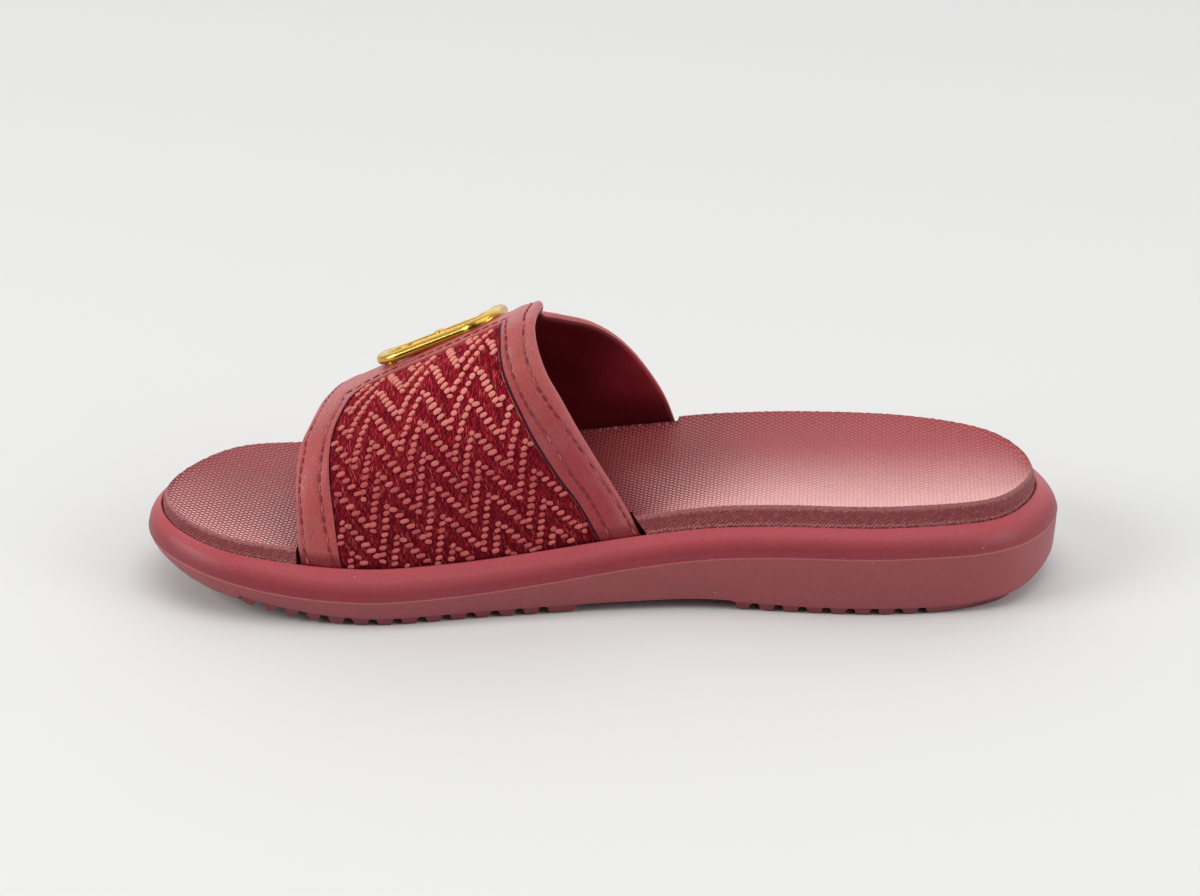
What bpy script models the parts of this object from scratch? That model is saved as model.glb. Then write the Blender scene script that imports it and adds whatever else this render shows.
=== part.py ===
"""Slide sandal for a right foot: moulded sole, footbed, lasted strap and cast ring.

Metres, +Z up. The toe points to -X, the heel to +X and the medial side to -Y.
The origin is on the floor under the middle of the sole.
"""
import math

import bmesh
import bpy
import numpy as np
from mathutils import Matrix, Vector

MM = 0.001

# Driving sizes of the shoe, in metres
LENGTH = 0.2587
BALL_WIDTH = 0.0966
HEEL_HEIGHT = 0.0314
INSTEP_HEIGHT = 0.0802
STRAP_WALL = 0.0030
GAP = 0.0003

# Round the foot: widest outline, as percent of length and percent of ball width
OUTLINE_COLUMNS = ("along", "side")
OUTLINE = (
    (0.0, -11.4),
    (2.1, -28.1),
    (8.5, -42.1),
    (24.0, -50.1),
    (37.9, -44.9),
    (57.2, -39.3),
    (81.9, -43.1),
    (94.5, -34.3),
    (100.0, -6.2),
    (96.1, 22.9),
    (85.4, 36.9),
    (61.8, 42.6),
    (38.7, 49.9),
    (20.1, 47.8),
    (7.7, 33.3),
    (1.5, 8.3),
)

# Side view of the sole: along is percent of length, heights are percent of heel height,
# insets are millimetres in from the widest outline, and bulge says how full the lower wall is
SOLE_COLUMNS = (
    "along",
    "tread",
    "parting",
    "rim",
    "step",
    "dish",
    "rim_inset",
    "step_inset",
    "tread_inset",
    "bulge",
)
SOLE = (
    (0.0, 34.9, 50.7, 73.4, 9.6, 2.0, 4.0, 1.6, 3.6, 1.7),
    (7.7, 20.3, 39.6, 62.6, 10.9, 2.6, 4.6, 1.6, 3.4, 1.7),
    (15.5, 8.4, 30.7, 54.2, 11.5, 3.2, 6.5, 1.6, 3.0, 1.7),
    (21.2, 2.2, 27.2, 50.9, 11.8, 3.4, 6.9, 1.6, 3.0, 1.7),
    (26.5, 0.0, 26.2, 50.0, 12.4, 3.4, 7.0, 1.6, 3.0, 1.7),
    (33.6, 0.0, 27.0, 50.7, 13.0, 3.8, 7.0, 1.6, 3.0, 1.7),
    (42.5, 1.2, 33.3, 56.8, 14.6, 4.4, 7.0, 1.6, 3.0, 1.7),
    (54.1, 2.2, 46.0, 69.5, 16.6, 5.2, 6.0, 1.4, 3.0, 1.7),
    (64.6, 1.6, 55.5, 79.1, 17.9, 6.4, 5.6, 1.4, 3.0, 1.7),
    (72.0, 0.0, 58.2, 81.8, 17.9, 7.4, 5.6, 1.4, 3.0, 1.7),
    (87.0, 0.0, 58.7, 82.2, 17.9, 7.4, 5.8, 1.4, 2.4, 1.8),
    (94.3, 0.0, 58.7, 81.6, 17.5, 6.4, 6.2, 1.5, 2.8, 3.0),
    (100.0, 9.7, 58.7, 80.9, 17.2, 5.0, 6.4, 1.6, 6.0, 8.0),
)

# Levels of the wall below its widest line, as parts of the height, and the rim's profile
# above that line, as parts of the inset and of the height
LOWER_WALL = (0.0, 0.07, 0.18, 0.40, 0.68, 1.0)
RIM_COLUMNS = ("inset", "height")
UPPER_WALL = ((0.07, 0.25), (0.22, 0.50), (0.40, 0.69), (0.54, 0.78), (0.76, 0.90), (0.94, 1.0))

# The pocket that holds the footbed and the strap's ends
POCKET_DEPTH = 0.0060
POCKET_LIP = 0.0010
EDGE_ROUND = 0.0011
EDGE_ROUND_PART = 0.5
DISH_POWER = 4
NOTCH_CLEARANCE = 0.0013
NOTCH_LEAN = 0.0013

# Strap: along is percent of length, crest_side percent of ball width, crest percent of instep
# height; the fullness numbers square off the section on each side (2 is an ellipse)
LAST_COLUMNS = ("along", "crest_side", "crest", "medial_fullness", "lateral_fullness")
LAST = (
    (15.5, -8.3, 55.4, 2.30, 2.10),
    (21.6, -9.4, 66.0, 2.30, 2.10),
    (30.9, -10.4, 81.6, 2.20, 2.05),
    (42.5, -12.5, 100.0, 2.15, 2.00),
    (59.9, -14.6, 124.0, 2.10, 2.00),
)
STRAP_SPRING_DEPTH = 0.0020

# Strap edges: the angle runs over the foot from the medial base to the lateral base
EDGE_COLUMNS = ("angle", "front", "rear")
STRAP_EDGES = (
    (0.0, 17.5, 54.2),
    (10.0, 17.2, 51.7),
    (20.0, 17.1, 49.3),
    (30.0, 17.0, 47.2),
    (40.0, 16.9, 45.5),
    (50.0, 16.9, 44.0),
    (60.0, 17.0, 43.1),
    (70.0, 17.3, 42.6),
    (80.0, 17.9, 42.4),
    (90.0, 18.4, 42.5),
    (97.0, 18.9, 42.9),
    (103.0, 19.5, 43.2),
    (110.0, 20.1, 43.2),
    (117.0, 20.6, 42.9),
    (124.0, 21.0, 43.2),
    (132.0, 21.4, 45.4),
    (140.0, 21.8, 48.7),
    (150.0, 22.3, 52.1),
    (160.0, 22.8, 54.9),
    (170.0, 23.3, 57.3),
    (180.0, 23.8, 58.9),
)

# Tread: cross grooves under forefoot and heel, and the raised waist between them
GROOVE_WIDTH = 0.0040
GROOVE_COLUMNS = ("first", "pitch", "count", "depth")
GROOVE_FIELDS = (
    (0.0336, 0.00610, 3, 0.0017),
    (0.0518, 0.00674, 10, 0.0018),
    (0.1714, 0.00666, 8, 0.0018),
)
WAIST_START = 0.1213
WAIST_END = 0.1661
WAIST_COLUMNS = ("part", "rise")
WAIST_LINE = (
    (0.0, 0.0021),
    (0.04, 0.0027),
    (0.4, 0.0032),
    (0.8, 0.0036),
    (0.96, 0.0034),
    (1.0, 0.0028),
)
CUTTER_REACH = 0.0600
CUTTER_FLOOR = -0.0040

# Ring ornament on the strap, sizes along and across the shoe
RING_ANGLE = 112.0
RING_ALONG = 0.0847
RING_LENGTH = 0.0376
RING_WIDTH = 0.0240
RING_CORNER = 0.0060
RING_BAR = 0.0030
RING_REAR_BAR = 0.0048
RING_STANDOFF = 0.0022
CROSS_BAR = 0.0024
FOOT_DIAMETER = 0.0022
FOOT_SPREAD = 0.60
STUD_DIAMETER = 0.0038
STUD_HEIGHT = 0.0009

# Mesh density
OUTLINE_SAMPLES = 960
STATIONS = 46
DISH_COLUMNS = 8
STRAP_COLUMNS = 40
STRAP_ROWS = 12
NOTCH_CELLS = 16
WAIST_CELLS = 14
GROOVE_SIDES = 12
RING_CORNER_CELLS = 5
RING_SIDES = 10
PIN_SIDES = 12
STUD_SIDES = 16
STUD_RINGS = 10
WELD = 0.000002

# Small steps for slopes measured on the strap
TURN_STEP = 1.0
ALONG_STEP = 0.0010


class SectionTable:
    """A short table of sections, read between its rows by a curve that never overshoots."""

    def __init__(self, columns, rows):
        self.columns = columns
        self.rows = np.array(rows, dtype=float)

    def slopes(self, keys, values):
        steps = np.diff(keys)
        rises = np.diff(values) / steps
        slope = np.zeros(len(keys))
        for i in range(1, len(keys) - 1):
            if rises[i - 1] * rises[i] > 0.0:
                before = 2.0 * steps[i] + steps[i - 1]
                after = steps[i] + 2.0 * steps[i - 1]
                slope[i] = (before + after) / (before / rises[i - 1] + after / rises[i])
        slope[0] = rises[0]
        slope[-1] = rises[-1]
        return slope

    def at(self, column, key):
        keys = self.rows[:, 0]
        values = self.rows[:, self.columns.index(column)]
        slope = self.slopes(keys, values)
        key = np.clip(np.asarray(key, dtype=float), keys[0], keys[-1])
        i = np.clip(np.searchsorted(keys, key) - 1, 0, len(keys) - 2)
        step = keys[i + 1] - keys[i]
        s = (key - keys[i]) / step
        start = (2 * s**3 - 3 * s**2 + 1) * values[i] + (s**3 - 2 * s**2 + s) * step * slope[i]
        end = (3 * s**2 - 2 * s**3) * values[i + 1] + (s**3 - s**2) * step * slope[i + 1]
        return start + end


def named_rows(columns, rows):
    """Rows of a short table, each read by the names of its columns."""
    return [dict(zip(columns, row)) for row in rows]


SOLE_TABLE = SectionTable(SOLE_COLUMNS, SOLE)
LAST_TABLE = SectionTable(LAST_COLUMNS, LAST)
EDGE_TABLE = SectionTable(EDGE_COLUMNS, STRAP_EDGES)
WAIST_TABLE = SectionTable(WAIST_COLUMNS, WAIST_LINE)


def sole_height(column, along):
    """Height above the floor at a distance behind the toe tip, both in metres."""
    return SOLE_TABLE.at(column, np.asarray(along) / LENGTH * 100.0) * HEEL_HEIGHT / 100.0


def smooth_outline():
    """Closed curve through the outline's points, evenly sampled, as rows of along and side."""
    rows = named_rows(OUTLINE_COLUMNS, OUTLINE)
    scale = np.array((LENGTH, BALL_WIDTH)) / 100.0
    points = np.array([(row["along"], row["side"]) for row in rows]) * scale
    count = len(points)
    per_span = OUTLINE_SAMPLES // count
    rows = []
    for i in range(count):
        p0, p1, p2, p3 = (points[(i + k - 1) % count] for k in range(4))
        d01, d12, d23 = (math.sqrt(np.linalg.norm(b - a)) for a, b in ((p0, p1), (p1, p2), (p2, p3)))
        m1 = p2 - p1 + d12 * ((p1 - p0) / d01 - (p2 - p0) / (d01 + d12))
        m2 = p2 - p1 + d12 * ((p3 - p2) / d23 - (p3 - p1) / (d12 + d23))
        for k in range(per_span):
            s = k / per_span
            start = (2 * s**3 - 3 * s**2 + 1) * p1 + (s**3 - 2 * s**2 + s) * m1
            rows.append(start + (3 * s**2 - 2 * s**3) * p2 + (s**3 - s**2) * m2)
    rows = np.array(rows)
    low = rows.min(axis=0)
    high = rows.max(axis=0)
    rows = (rows - low) / (high - low) * np.array((LENGTH, BALL_WIDTH))
    rows[:, 1] -= BALL_WIDTH / 2.0
    return rows


OUTLINE_CURVE = smooth_outline()


def inset_curve(distance):
    """The outline moved inwards by a distance for each of its points."""
    ahead = np.roll(OUTLINE_CURVE, -1, axis=0)
    behind = np.roll(OUTLINE_CURVE, 1, axis=0)
    run = ahead - behind
    run /= np.linalg.norm(run, axis=1)[:, None]
    inward = np.stack([-run[:, 1], run[:, 0]], axis=-1)
    return OUTLINE_CURVE + inward * np.broadcast_to(distance, len(run))[:, None]


def halves(curve):
    """Split a closed curve at toe and heel into its medial and lateral halves, toe first."""
    curve = np.roll(curve, -int(np.argmin(curve[:, 0])), axis=0)
    heel = int(np.argmax(curve[:, 0]))
    medial = curve[: heel + 1]
    lateral = np.vstack([curve[heel:], curve[:1]])[::-1]
    return medial, lateral


def side_at(curve, along, lateral):
    """Side position of a closed curve at distances behind the toe tip."""
    half = halves(curve)[1 if lateral else 0]
    return np.interp(along, half[:, 0], half[:, 1])


def station_spread(low, high):
    """Distances behind the toe tip, closer together at toe and heel."""
    turn = np.linspace(0.0, math.pi, STATIONS + 1)
    return low + (high - low) * (1.0 - np.cos(turn)) / 2.0


def ring_points(distance):
    """Points round the shoe at an inset: medial side from toe to heel, then lateral side back."""
    curve = inset_curve(distance)
    along = station_spread(curve[:, 0].min(), curve[:, 0].max())
    medial = np.stack([along, side_at(curve, along, False)], axis=-1)
    lateral = np.stack([along, side_at(curve, along, True)], axis=-1)
    middle = (medial + lateral) / 2.0
    medial[[0, -1]] = middle[[0, -1]]
    lateral[[0, -1]] = middle[[0, -1]]
    return medial, lateral


def in_frame(along, side, height):
    """Point in the shoe's frame."""
    return Vector((along - LENGTH / 2.0, side, height))


def mapped_grid(bm, cells_u, cells_v, place):
    """Lay a grid of cells on a surface: place(i, j) gives the point at each grid corner."""
    made = bmesh.ops.create_grid(bm, x_segments=cells_u, y_segments=cells_v, size=1.0)
    for vert in made["verts"]:
        i = round((vert.co.x + 1.0) / 2.0 * cells_u)
        j = round((vert.co.y + 1.0) / 2.0 * cells_v)
        vert.co = place(i, j)
    return made["verts"]


def finish_mesh(bm, name, closed=True):
    """Weld the seams, drop empty faces, face outwards and return a linked object."""
    bmesh.ops.remove_doubles(bm, verts=bm.verts, dist=WELD)
    bmesh.ops.dissolve_degenerate(bm, dist=WELD, edges=bm.edges)
    if closed:
        bmesh.ops.recalc_face_normals(bm, faces=bm.faces)
    mesh = bpy.data.meshes.new(name)
    bm.to_mesh(mesh)
    bm.free()
    obj = bpy.data.objects.new(name, mesh)
    bpy.context.scene.collection.objects.link(obj)
    return obj


def shade_round(obj, angle=40.0):
    """Shade smooth, except where faces meet at more than an angle."""
    obj.data.shade_smooth()
    obj.data.set_sharp_from_angle(angle=math.radians(angle))


def give_material(obj, name, colour, roughness, metallic=0.0):
    """Give an object its own plain finish."""
    material = bpy.data.materials.new(name)
    material.use_nodes = True
    shader = material.node_tree.nodes["Principled BSDF"]
    shader.inputs["Base Color"].default_value = (*colour, 1.0)
    shader.inputs["Roughness"].default_value = roughness
    shader.inputs["Metallic"].default_value = metallic
    obj.data.materials.append(material)


def use_as_cutter(obj):
    """Keep a cutting shape out of the model."""
    obj.hide_render = True
    obj.display_type = "WIRE"


def apply_boolean(obj, cutter, operation):
    """Cut or join another shape, live on the object."""
    modifier = obj.modifiers.new(operation.title(), "BOOLEAN")
    modifier.operation = operation
    modifier.solver = "EXACT"
    modifier.object = cutter


def ring_level(distance, height):
    """One level of a turned wall: the ring at an inset, with its height from the section table."""
    medial, lateral = ring_points(distance)
    points = np.vstack([medial, lateral[-2:0:-1]])
    return [in_frame(a, s, float(height(a))) for a, s in points]


def ladder(bm, distance, height, columns):
    """Close a ring by a deck whose height depends on the place along and across the shoe."""
    medial, lateral = ring_points(distance)

    def place(i, j):
        across = j / columns
        along, side = medial[i] * (1.0 - across) + lateral[i] * across
        return in_frame(along, side, float(height(along, across)))

    mapped_grid(bm, STATIONS, columns, place)


def wall_rings(bm, rings):
    """Lay one wall over a list of rings of points, from the first ring to the last."""
    count = len(rings[0])
    mapped_grid(bm, len(rings) - 1, count, lambda i, j: rings[i][j % count])


def tread_height(along):
    return sole_height("tread", along)


def rim_height(along):
    return sole_height("rim", along)


def pocket_height(along):
    return rim_height(along) - POCKET_DEPTH


def outline_number(column):
    """A column of the section table, read for each point of the outline."""
    return SOLE_TABLE.at(column, OUTLINE_CURVE[:, 0] / LENGTH * 100.0)


def outline_inset(column):
    """Inset in metres for each point of the outline."""
    return outline_number(column) * MM


def sole_rings():
    """Rings of the sole from the tread's edge, over the rim and down into the pocket."""
    rings = []
    for part in LOWER_WALL:
        def height(along, part=part):
            return tread_height(along) + part * (sole_height("parting", along) - tread_height(along))
        fade = (1.0 - part) ** outline_number("bulge")
        rings.append(ring_level(outline_inset("tread_inset") * fade, height))
    for row in named_rows(RIM_COLUMNS, UPPER_WALL):
        def height(along, part=row["height"]):
            low = sole_height("parting", along)
            return low + part * (rim_height(along) - low)
        rings.append(ring_level(outline_inset("rim_inset") * row["inset"], height))
    pocket = outline_inset("rim_inset")
    rings.append(ring_level(pocket, lambda a: rim_height(a) - POCKET_LIP))
    rings.append(ring_level(pocket, pocket_height))
    return rings


def tread_cutter():
    """Bars across the tread that cut the grooves, and the block that raises the waist."""
    bm = bmesh.new()
    crosswise = Matrix.Rotation(math.pi / 2.0, 4, "X")
    for field in named_rows(GROOVE_COLUMNS, GROOVE_FIELDS):
        squash = Matrix.Diagonal((GROOVE_WIDTH / 2.0, 1.0, field["depth"], 1.0))
        for number in range(field["count"]):
            along = field["first"] + number * field["pitch"]
            middle = Matrix.Translation(in_frame(along, 0.0, float(tread_height(along))))
            bmesh.ops.create_cone(
                bm,
                cap_ends=True,
                segments=GROOVE_SIDES,
                radius1=1.0,
                radius2=1.0,
                depth=2.0 * CUTTER_REACH,
                matrix=middle @ squash @ crosswise,
            )
    profile = [(WAIST_START, CUTTER_FLOOR)]
    for part in np.linspace(0.0, 1.0, WAIST_CELLS + 1):
        along = WAIST_START + (WAIST_END - WAIST_START) * part
        profile.append((along, float(WAIST_TABLE.at("rise", part))))
    profile.append((WAIST_END, CUTTER_FLOOR))
    verts = [bm.verts.new(in_frame(along, -CUTTER_REACH, z)) for along, z in profile]
    face = bm.faces.new(verts)
    side = bmesh.ops.extrude_face_region(bm, geom=[face])
    moved = [item for item in side["geom"] if isinstance(item, bmesh.types.BMVert)]
    bmesh.ops.translate(bm, verts=moved, vec=(0.0, 2.0 * CUTTER_REACH, 0.0))
    cutter = finish_mesh(bm, "tread_cutter")
    use_as_cutter(cutter)
    return cutter


def build_sole():
    """Moulded sole: wall, rim, pocket and ribbed tread."""
    bm = bmesh.new()
    wall_rings(bm, sole_rings())
    ladder(bm, outline_inset("tread_inset"), lambda a, v: tread_height(a), 1)
    ladder(bm, outline_inset("rim_inset"), lambda a, v: pocket_height(a), 1)
    sole = finish_mesh(bm, "sole")
    apply_boolean(sole, tread_cutter(), "DIFFERENCE")
    shade_round(sole)
    give_material(sole, "moulded_foam", (0.33, 0.065, 0.075), 0.5)
    return sole


def footbed_height(along):
    return rim_height(along) + sole_height("step", along)


def footbed_top(along, across):
    """Dished top of the footbed: highest along its edge, lowest along the middle."""
    bowl = (1.0 - (2.0 * across - 1.0) ** DISH_POWER) * sole_height("dish", along)
    return footbed_height(along) - bowl


def notch_cutter(lateral):
    """Slab that takes the strap's footprint and its clearance out of the footbed's side."""
    angle = 180.0 if lateral else 0.0
    front = float(EDGE_TABLE.at("front", angle)) / 100.0 * LENGTH - NOTCH_CLEARANCE
    rear = float(EDGE_TABLE.at("rear", angle)) / 100.0 * LENGTH + NOTCH_CLEARANCE
    along = np.linspace(front, rear, NOTCH_CELLS + 1)
    outer = side_at(inset_curve(outline_inset("rim_inset") - MM), along, lateral)
    slot = outline_inset("rim_inset") + STRAP_WALL + 2.0 * GAP
    inner_low = side_at(inset_curve(slot), along, lateral)
    inner_high = side_at(inset_curve(slot + NOTCH_LEAN), along, lateral)
    name = "notch_lateral" if lateral else "notch_medial"
    bm = bmesh.new()

    def place(i, j):
        low = pocket_height(along[i]) - MM
        high = footbed_height(along[i]) + MM
        corners = ((outer[i], low), (outer[i], high), (inner_high[i], high), (inner_low[i], low))
        side, height = corners[j % 4]
        return in_frame(along[i], side, float(height))

    mapped_grid(bm, NOTCH_CELLS, 4, place)
    bmesh.ops.remove_doubles(bm, verts=bm.verts, dist=WELD)
    bmesh.ops.holes_fill(bm, edges=bm.edges, sides=4)
    cutter = finish_mesh(bm, name)
    use_as_cutter(cutter)
    return cutter


def build_footbed():
    """Insole that fills the pocket and stands proud of the rim, notched for the strap."""
    base = outline_inset("rim_inset") + GAP
    top = outline_inset("rim_inset") + outline_inset("step_inset")
    rings = [
        ring_level(base, lambda a: pocket_height(a) + GAP),
        ring_level(base, rim_height),
        ring_level(base + (top - base) * EDGE_ROUND_PART, lambda a: footbed_height(a) - EDGE_ROUND),
        ring_level(top, footbed_height),
    ]
    bm = bmesh.new()
    wall_rings(bm, rings)
    ladder(bm, base, lambda a, v: pocket_height(a) + GAP, 1)
    ladder(bm, top, footbed_top, DISH_COLUMNS)
    footbed = finish_mesh(bm, "footbed")
    for lateral in (False, True):
        apply_boolean(footbed, notch_cutter(lateral), "DIFFERENCE")
    shade_round(footbed)
    give_material(footbed, "textured_foam", (0.36, 0.095, 0.105), 0.75)
    return footbed


STRAP_BASE = inset_curve(outline_inset("rim_inset") + GAP)


def strap_point(angle, along):
    """Point on the strap's outer face, at an angle over the foot and a distance behind the toe."""
    place = along / LENGTH * 100.0
    medial = float(side_at(STRAP_BASE, along, False))
    lateral = float(side_at(STRAP_BASE, along, True))
    spring = float(rim_height(along)) - STRAP_SPRING_DEPTH
    crest_side = float(LAST_TABLE.at("crest_side", place)) * BALL_WIDTH / 100.0
    crest = float(LAST_TABLE.at("crest", place)) * INSTEP_HEIGHT / 100.0
    over = math.cos(math.radians(angle))
    fullness = float(LAST_TABLE.at("medial_fullness" if over > 0.0 else "lateral_fullness", place))
    reach = abs(over) ** (2.0 / fullness)
    rise = math.sin(math.radians(angle)) ** (2.0 / fullness) if 0.0 < angle < 180.0 else 0.0
    edge = medial if over > 0.0 else lateral
    return in_frame(along, crest_side + (edge - crest_side) * reach, spring + (crest - spring) * rise)


def build_upper():
    """Strap over the instep: one lasted wall, open at toe, heel and underneath."""
    bm = bmesh.new()
    last_column = STRAP_COLUMNS + 2

    def place(i, j):
        angle = 180.0 * min(max(j - 1, 0), STRAP_COLUMNS) / STRAP_COLUMNS
        front = float(EDGE_TABLE.at("front", angle))
        rear = float(EDGE_TABLE.at("rear", angle))
        along = (front + (rear - front) * i / STRAP_ROWS) / 100.0 * LENGTH
        point = strap_point(angle, along)
        if j in (0, last_column):
            point.z = float(pocket_height(along)) + GAP
        return point

    mapped_grid(bm, STRAP_ROWS, last_column, place)
    upper = finish_mesh(bm, "upper", closed=False)
    wall = upper.modifiers.new("Wall", "SOLIDIFY")
    wall.thickness = STRAP_WALL
    wall.offset = -1.0
    wall.use_even_offset = True
    shade_round(upper, 50.0)
    give_material(upper, "leather_and_weave", (0.34, 0.065, 0.07), 0.5)
    return upper


def ring_place():
    """Frame of the ring: x along the strap, y over the foot to the lateral side, z outwards."""
    half = RING_LENGTH / 2.0
    here = strap_point(RING_ANGLE, RING_ALONG)
    along = strap_point(RING_ANGLE, RING_ALONG + half) - strap_point(RING_ANGLE, RING_ALONG - half)
    over = strap_point(RING_ANGLE + TURN_STEP, RING_ALONG) - here
    along.normalize()
    out = along.cross(over).normalized()
    over = out.cross(along)
    frame = Matrix((along, over, out)).transposed().to_4x4()
    return Matrix.Translation(here + out * RING_STANDOFF) @ frame


def rounded_rectangle():
    """Middle line of the ring's bar, anticlockwise, with each point's outward direction."""
    centre_x = RING_LENGTH / 2.0 - RING_BAR / 2.0 - RING_CORNER
    centre_y = RING_WIDTH / 2.0 - RING_BAR / 2.0 - RING_CORNER
    points = []
    for quarter in range(4):
        sign_x = (1, -1, -1, 1)[quarter]
        sign_y = (1, 1, -1, -1)[quarter]
        for k in range(RING_CORNER_CELLS + 1):
            turn = math.pi / 2.0 * (quarter + k / RING_CORNER_CELLS)
            out = Vector((math.cos(turn), math.sin(turn), 0.0))
            middle = Vector((sign_x * centre_x, sign_y * centre_y, 0.0))
            points.append((middle + out * RING_CORNER, out))
    return points


def build_ring_frame(place):
    """Rounded rectangular ring, thicker along its rear end."""
    route = rounded_rectangle()
    bm = bmesh.new()

    def corner(i, j):
        point, out = route[i % len(route)]
        rear = max(0.0, out.x) ** 2
        reach = (RING_BAR + (RING_REAR_BAR - RING_BAR) * rear) / 2.0
        turn = 2.0 * math.pi * j / RING_SIDES
        lift = Vector((0.0, 0.0, math.sin(turn) * RING_BAR / 2.0))
        return place @ (point + out * math.cos(turn) * reach + lift)

    mapped_grid(bm, len(route), RING_SIDES, corner)
    return finish_mesh(bm, "ring_ornament")


def surface_below(place, x, y):
    """Height of the strap's outer face under a point of the ring, in the ring's own frame."""
    target = place @ Vector((x, y, 0.0))
    out = place.to_3x3() @ Vector((0.0, 0.0, 1.0))
    angle = RING_ANGLE
    along = target.x + LENGTH / 2.0
    for _ in range(30):
        here = strap_point(angle, along)
        miss = here - target
        miss -= out * miss.dot(out)
        over = strap_point(angle + TURN_STEP, along) - here
        back = strap_point(angle, along + ALONG_STEP) - here
        angle -= miss.dot(over) / over.dot(over) * TURN_STEP
        along -= miss.dot(back) / back.dot(back) * ALONG_STEP
    return (place.inverted() @ strap_point(angle, along)).z


def build_ring_supports(place):
    """Cross bar and four feet, joined to the ring by a union."""
    bm = bmesh.new()
    crosswise = Matrix.Rotation(math.pi / 2.0, 4, "X")
    radius = FOOT_DIAMETER / 2.0
    rim_turns = np.linspace(0.0, 2.0 * math.pi, PIN_SIDES, endpoint=False)
    bmesh.ops.create_cone(
        bm,
        cap_ends=True,
        segments=PIN_SIDES,
        radius1=CROSS_BAR / 2.0,
        radius2=CROSS_BAR / 2.0,
        depth=RING_WIDTH - RING_BAR,
        matrix=place @ crosswise,
    )
    for end in (-1.0, 1.0):
        for side in (-1.0, 1.0):
            x = end * RING_LENGTH / 2.0 * FOOT_SPREAD
            y = side * (RING_WIDTH - RING_BAR) / 2.0
            rim = [
                surface_below(place, x + math.cos(turn) * radius, y + math.sin(turn) * radius)
                for turn in rim_turns
            ]
            low = max(rim) + GAP
            stand = place @ Matrix.Translation((x, y, low / 2.0))
            bmesh.ops.create_cone(
                bm,
                cap_ends=True,
                segments=PIN_SIDES,
                radius1=radius,
                radius2=radius,
                depth=-low,
                matrix=stand,
            )
    supports = finish_mesh(bm, "ring_supports")
    use_as_cutter(supports)
    return supports


def build_ring():
    """Cast ring with its cross bar and feet, and the domed stud on the cross bar."""
    place = ring_place()
    ring = build_ring_frame(place)
    apply_boolean(ring, build_ring_supports(place), "UNION")
    shade_round(ring)
    give_material(ring, "gilt_ring", (0.83, 0.56, 0.13), 0.16, 1.0)

    bm = bmesh.new()
    bmesh.ops.create_uvsphere(bm, u_segments=STUD_SIDES, v_segments=STUD_RINGS, radius=1.0)
    flat = bmesh.ops.bisect_plane(
        bm,
        geom=bm.verts[:] + bm.edges[:] + bm.faces[:],
        plane_co=(0.0, 0.0, 0.0),
        plane_no=(0.0, 0.0, -1.0),
        clear_outer=True,
    )
    rim = [item for item in flat["geom_cut"] if isinstance(item, bmesh.types.BMEdge)]
    bmesh.ops.holes_fill(bm, edges=rim, sides=0)
    size = Matrix.Diagonal((STUD_DIAMETER / 2.0, STUD_DIAMETER / 2.0, STUD_HEIGHT, 1.0))
    lift = Matrix.Translation((0.0, 0.0, CROSS_BAR / 2.0 + GAP))
    bmesh.ops.transform(bm, matrix=place @ lift @ size, verts=bm.verts)
    stud = finish_mesh(bm, "ring_stud")
    shade_round(stud)
    give_material(stud, "gilt_stud", (0.83, 0.56, 0.13), 0.16, 1.0)


def clear_scene():
    """Start from an empty scene."""
    for obj in list(bpy.data.objects):
        bpy.data.objects.remove(obj, do_unlink=True)


def main():
    """Build the whole sandal."""
    clear_scene()
    build_sole()
    build_footbed()
    build_upper()
    build_ring()


main()
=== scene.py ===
"""Looks of the slide sandal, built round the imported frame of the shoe.

Metres, +Z up. The toe points to -X, the heel to +X and the medial side to -Y, towards the camera.
"Along" is the distance behind the toe tip, and an angle runs over the foot from the medial base of
the strap (0 degrees) to its lateral base (180 degrees).
"""

import logging
import math
from dataclasses import dataclass
from enum import Enum, IntEnum
from typing import Callable, Sequence

import bmesh
import bpy
import numpy as np
from mathutils import Matrix, Vector


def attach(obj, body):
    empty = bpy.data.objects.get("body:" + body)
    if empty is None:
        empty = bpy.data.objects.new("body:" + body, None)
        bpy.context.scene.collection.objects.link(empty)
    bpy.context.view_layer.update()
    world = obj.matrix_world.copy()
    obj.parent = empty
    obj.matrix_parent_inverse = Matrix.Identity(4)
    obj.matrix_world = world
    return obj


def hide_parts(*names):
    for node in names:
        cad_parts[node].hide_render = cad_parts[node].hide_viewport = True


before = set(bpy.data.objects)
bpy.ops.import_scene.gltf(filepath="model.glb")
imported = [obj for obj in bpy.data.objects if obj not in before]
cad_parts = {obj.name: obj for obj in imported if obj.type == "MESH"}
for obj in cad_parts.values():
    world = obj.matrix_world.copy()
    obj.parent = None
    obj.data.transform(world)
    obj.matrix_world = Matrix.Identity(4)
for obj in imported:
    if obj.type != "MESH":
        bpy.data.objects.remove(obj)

LOG = logging.getLogger("slide_sandal")
MM = 0.001
WELD = 0.000002

Colour = tuple[float, float, float]
Socket = bpy.types.NodeSocket
Rows = tuple[tuple[float, ...], ...]


class Slot(Enum):
    """Material slots of the stored record."""

    SOLE = "sole_foam"
    FOOTBED = "footbed_foam"
    STRAP = "strap_leather"
    METAL = "gilt_metal"


class Coat(IntEnum):
    """Numbers of the strap's finishes, in the order of its materials."""

    LEATHER = 0
    TWILL = 1
    PAINT = 2
    LINING = 3
    YARN = 4


class Side(Enum):
    """The two sides of the shoe."""

    MEDIAL = 0
    LATERAL = 1


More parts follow.
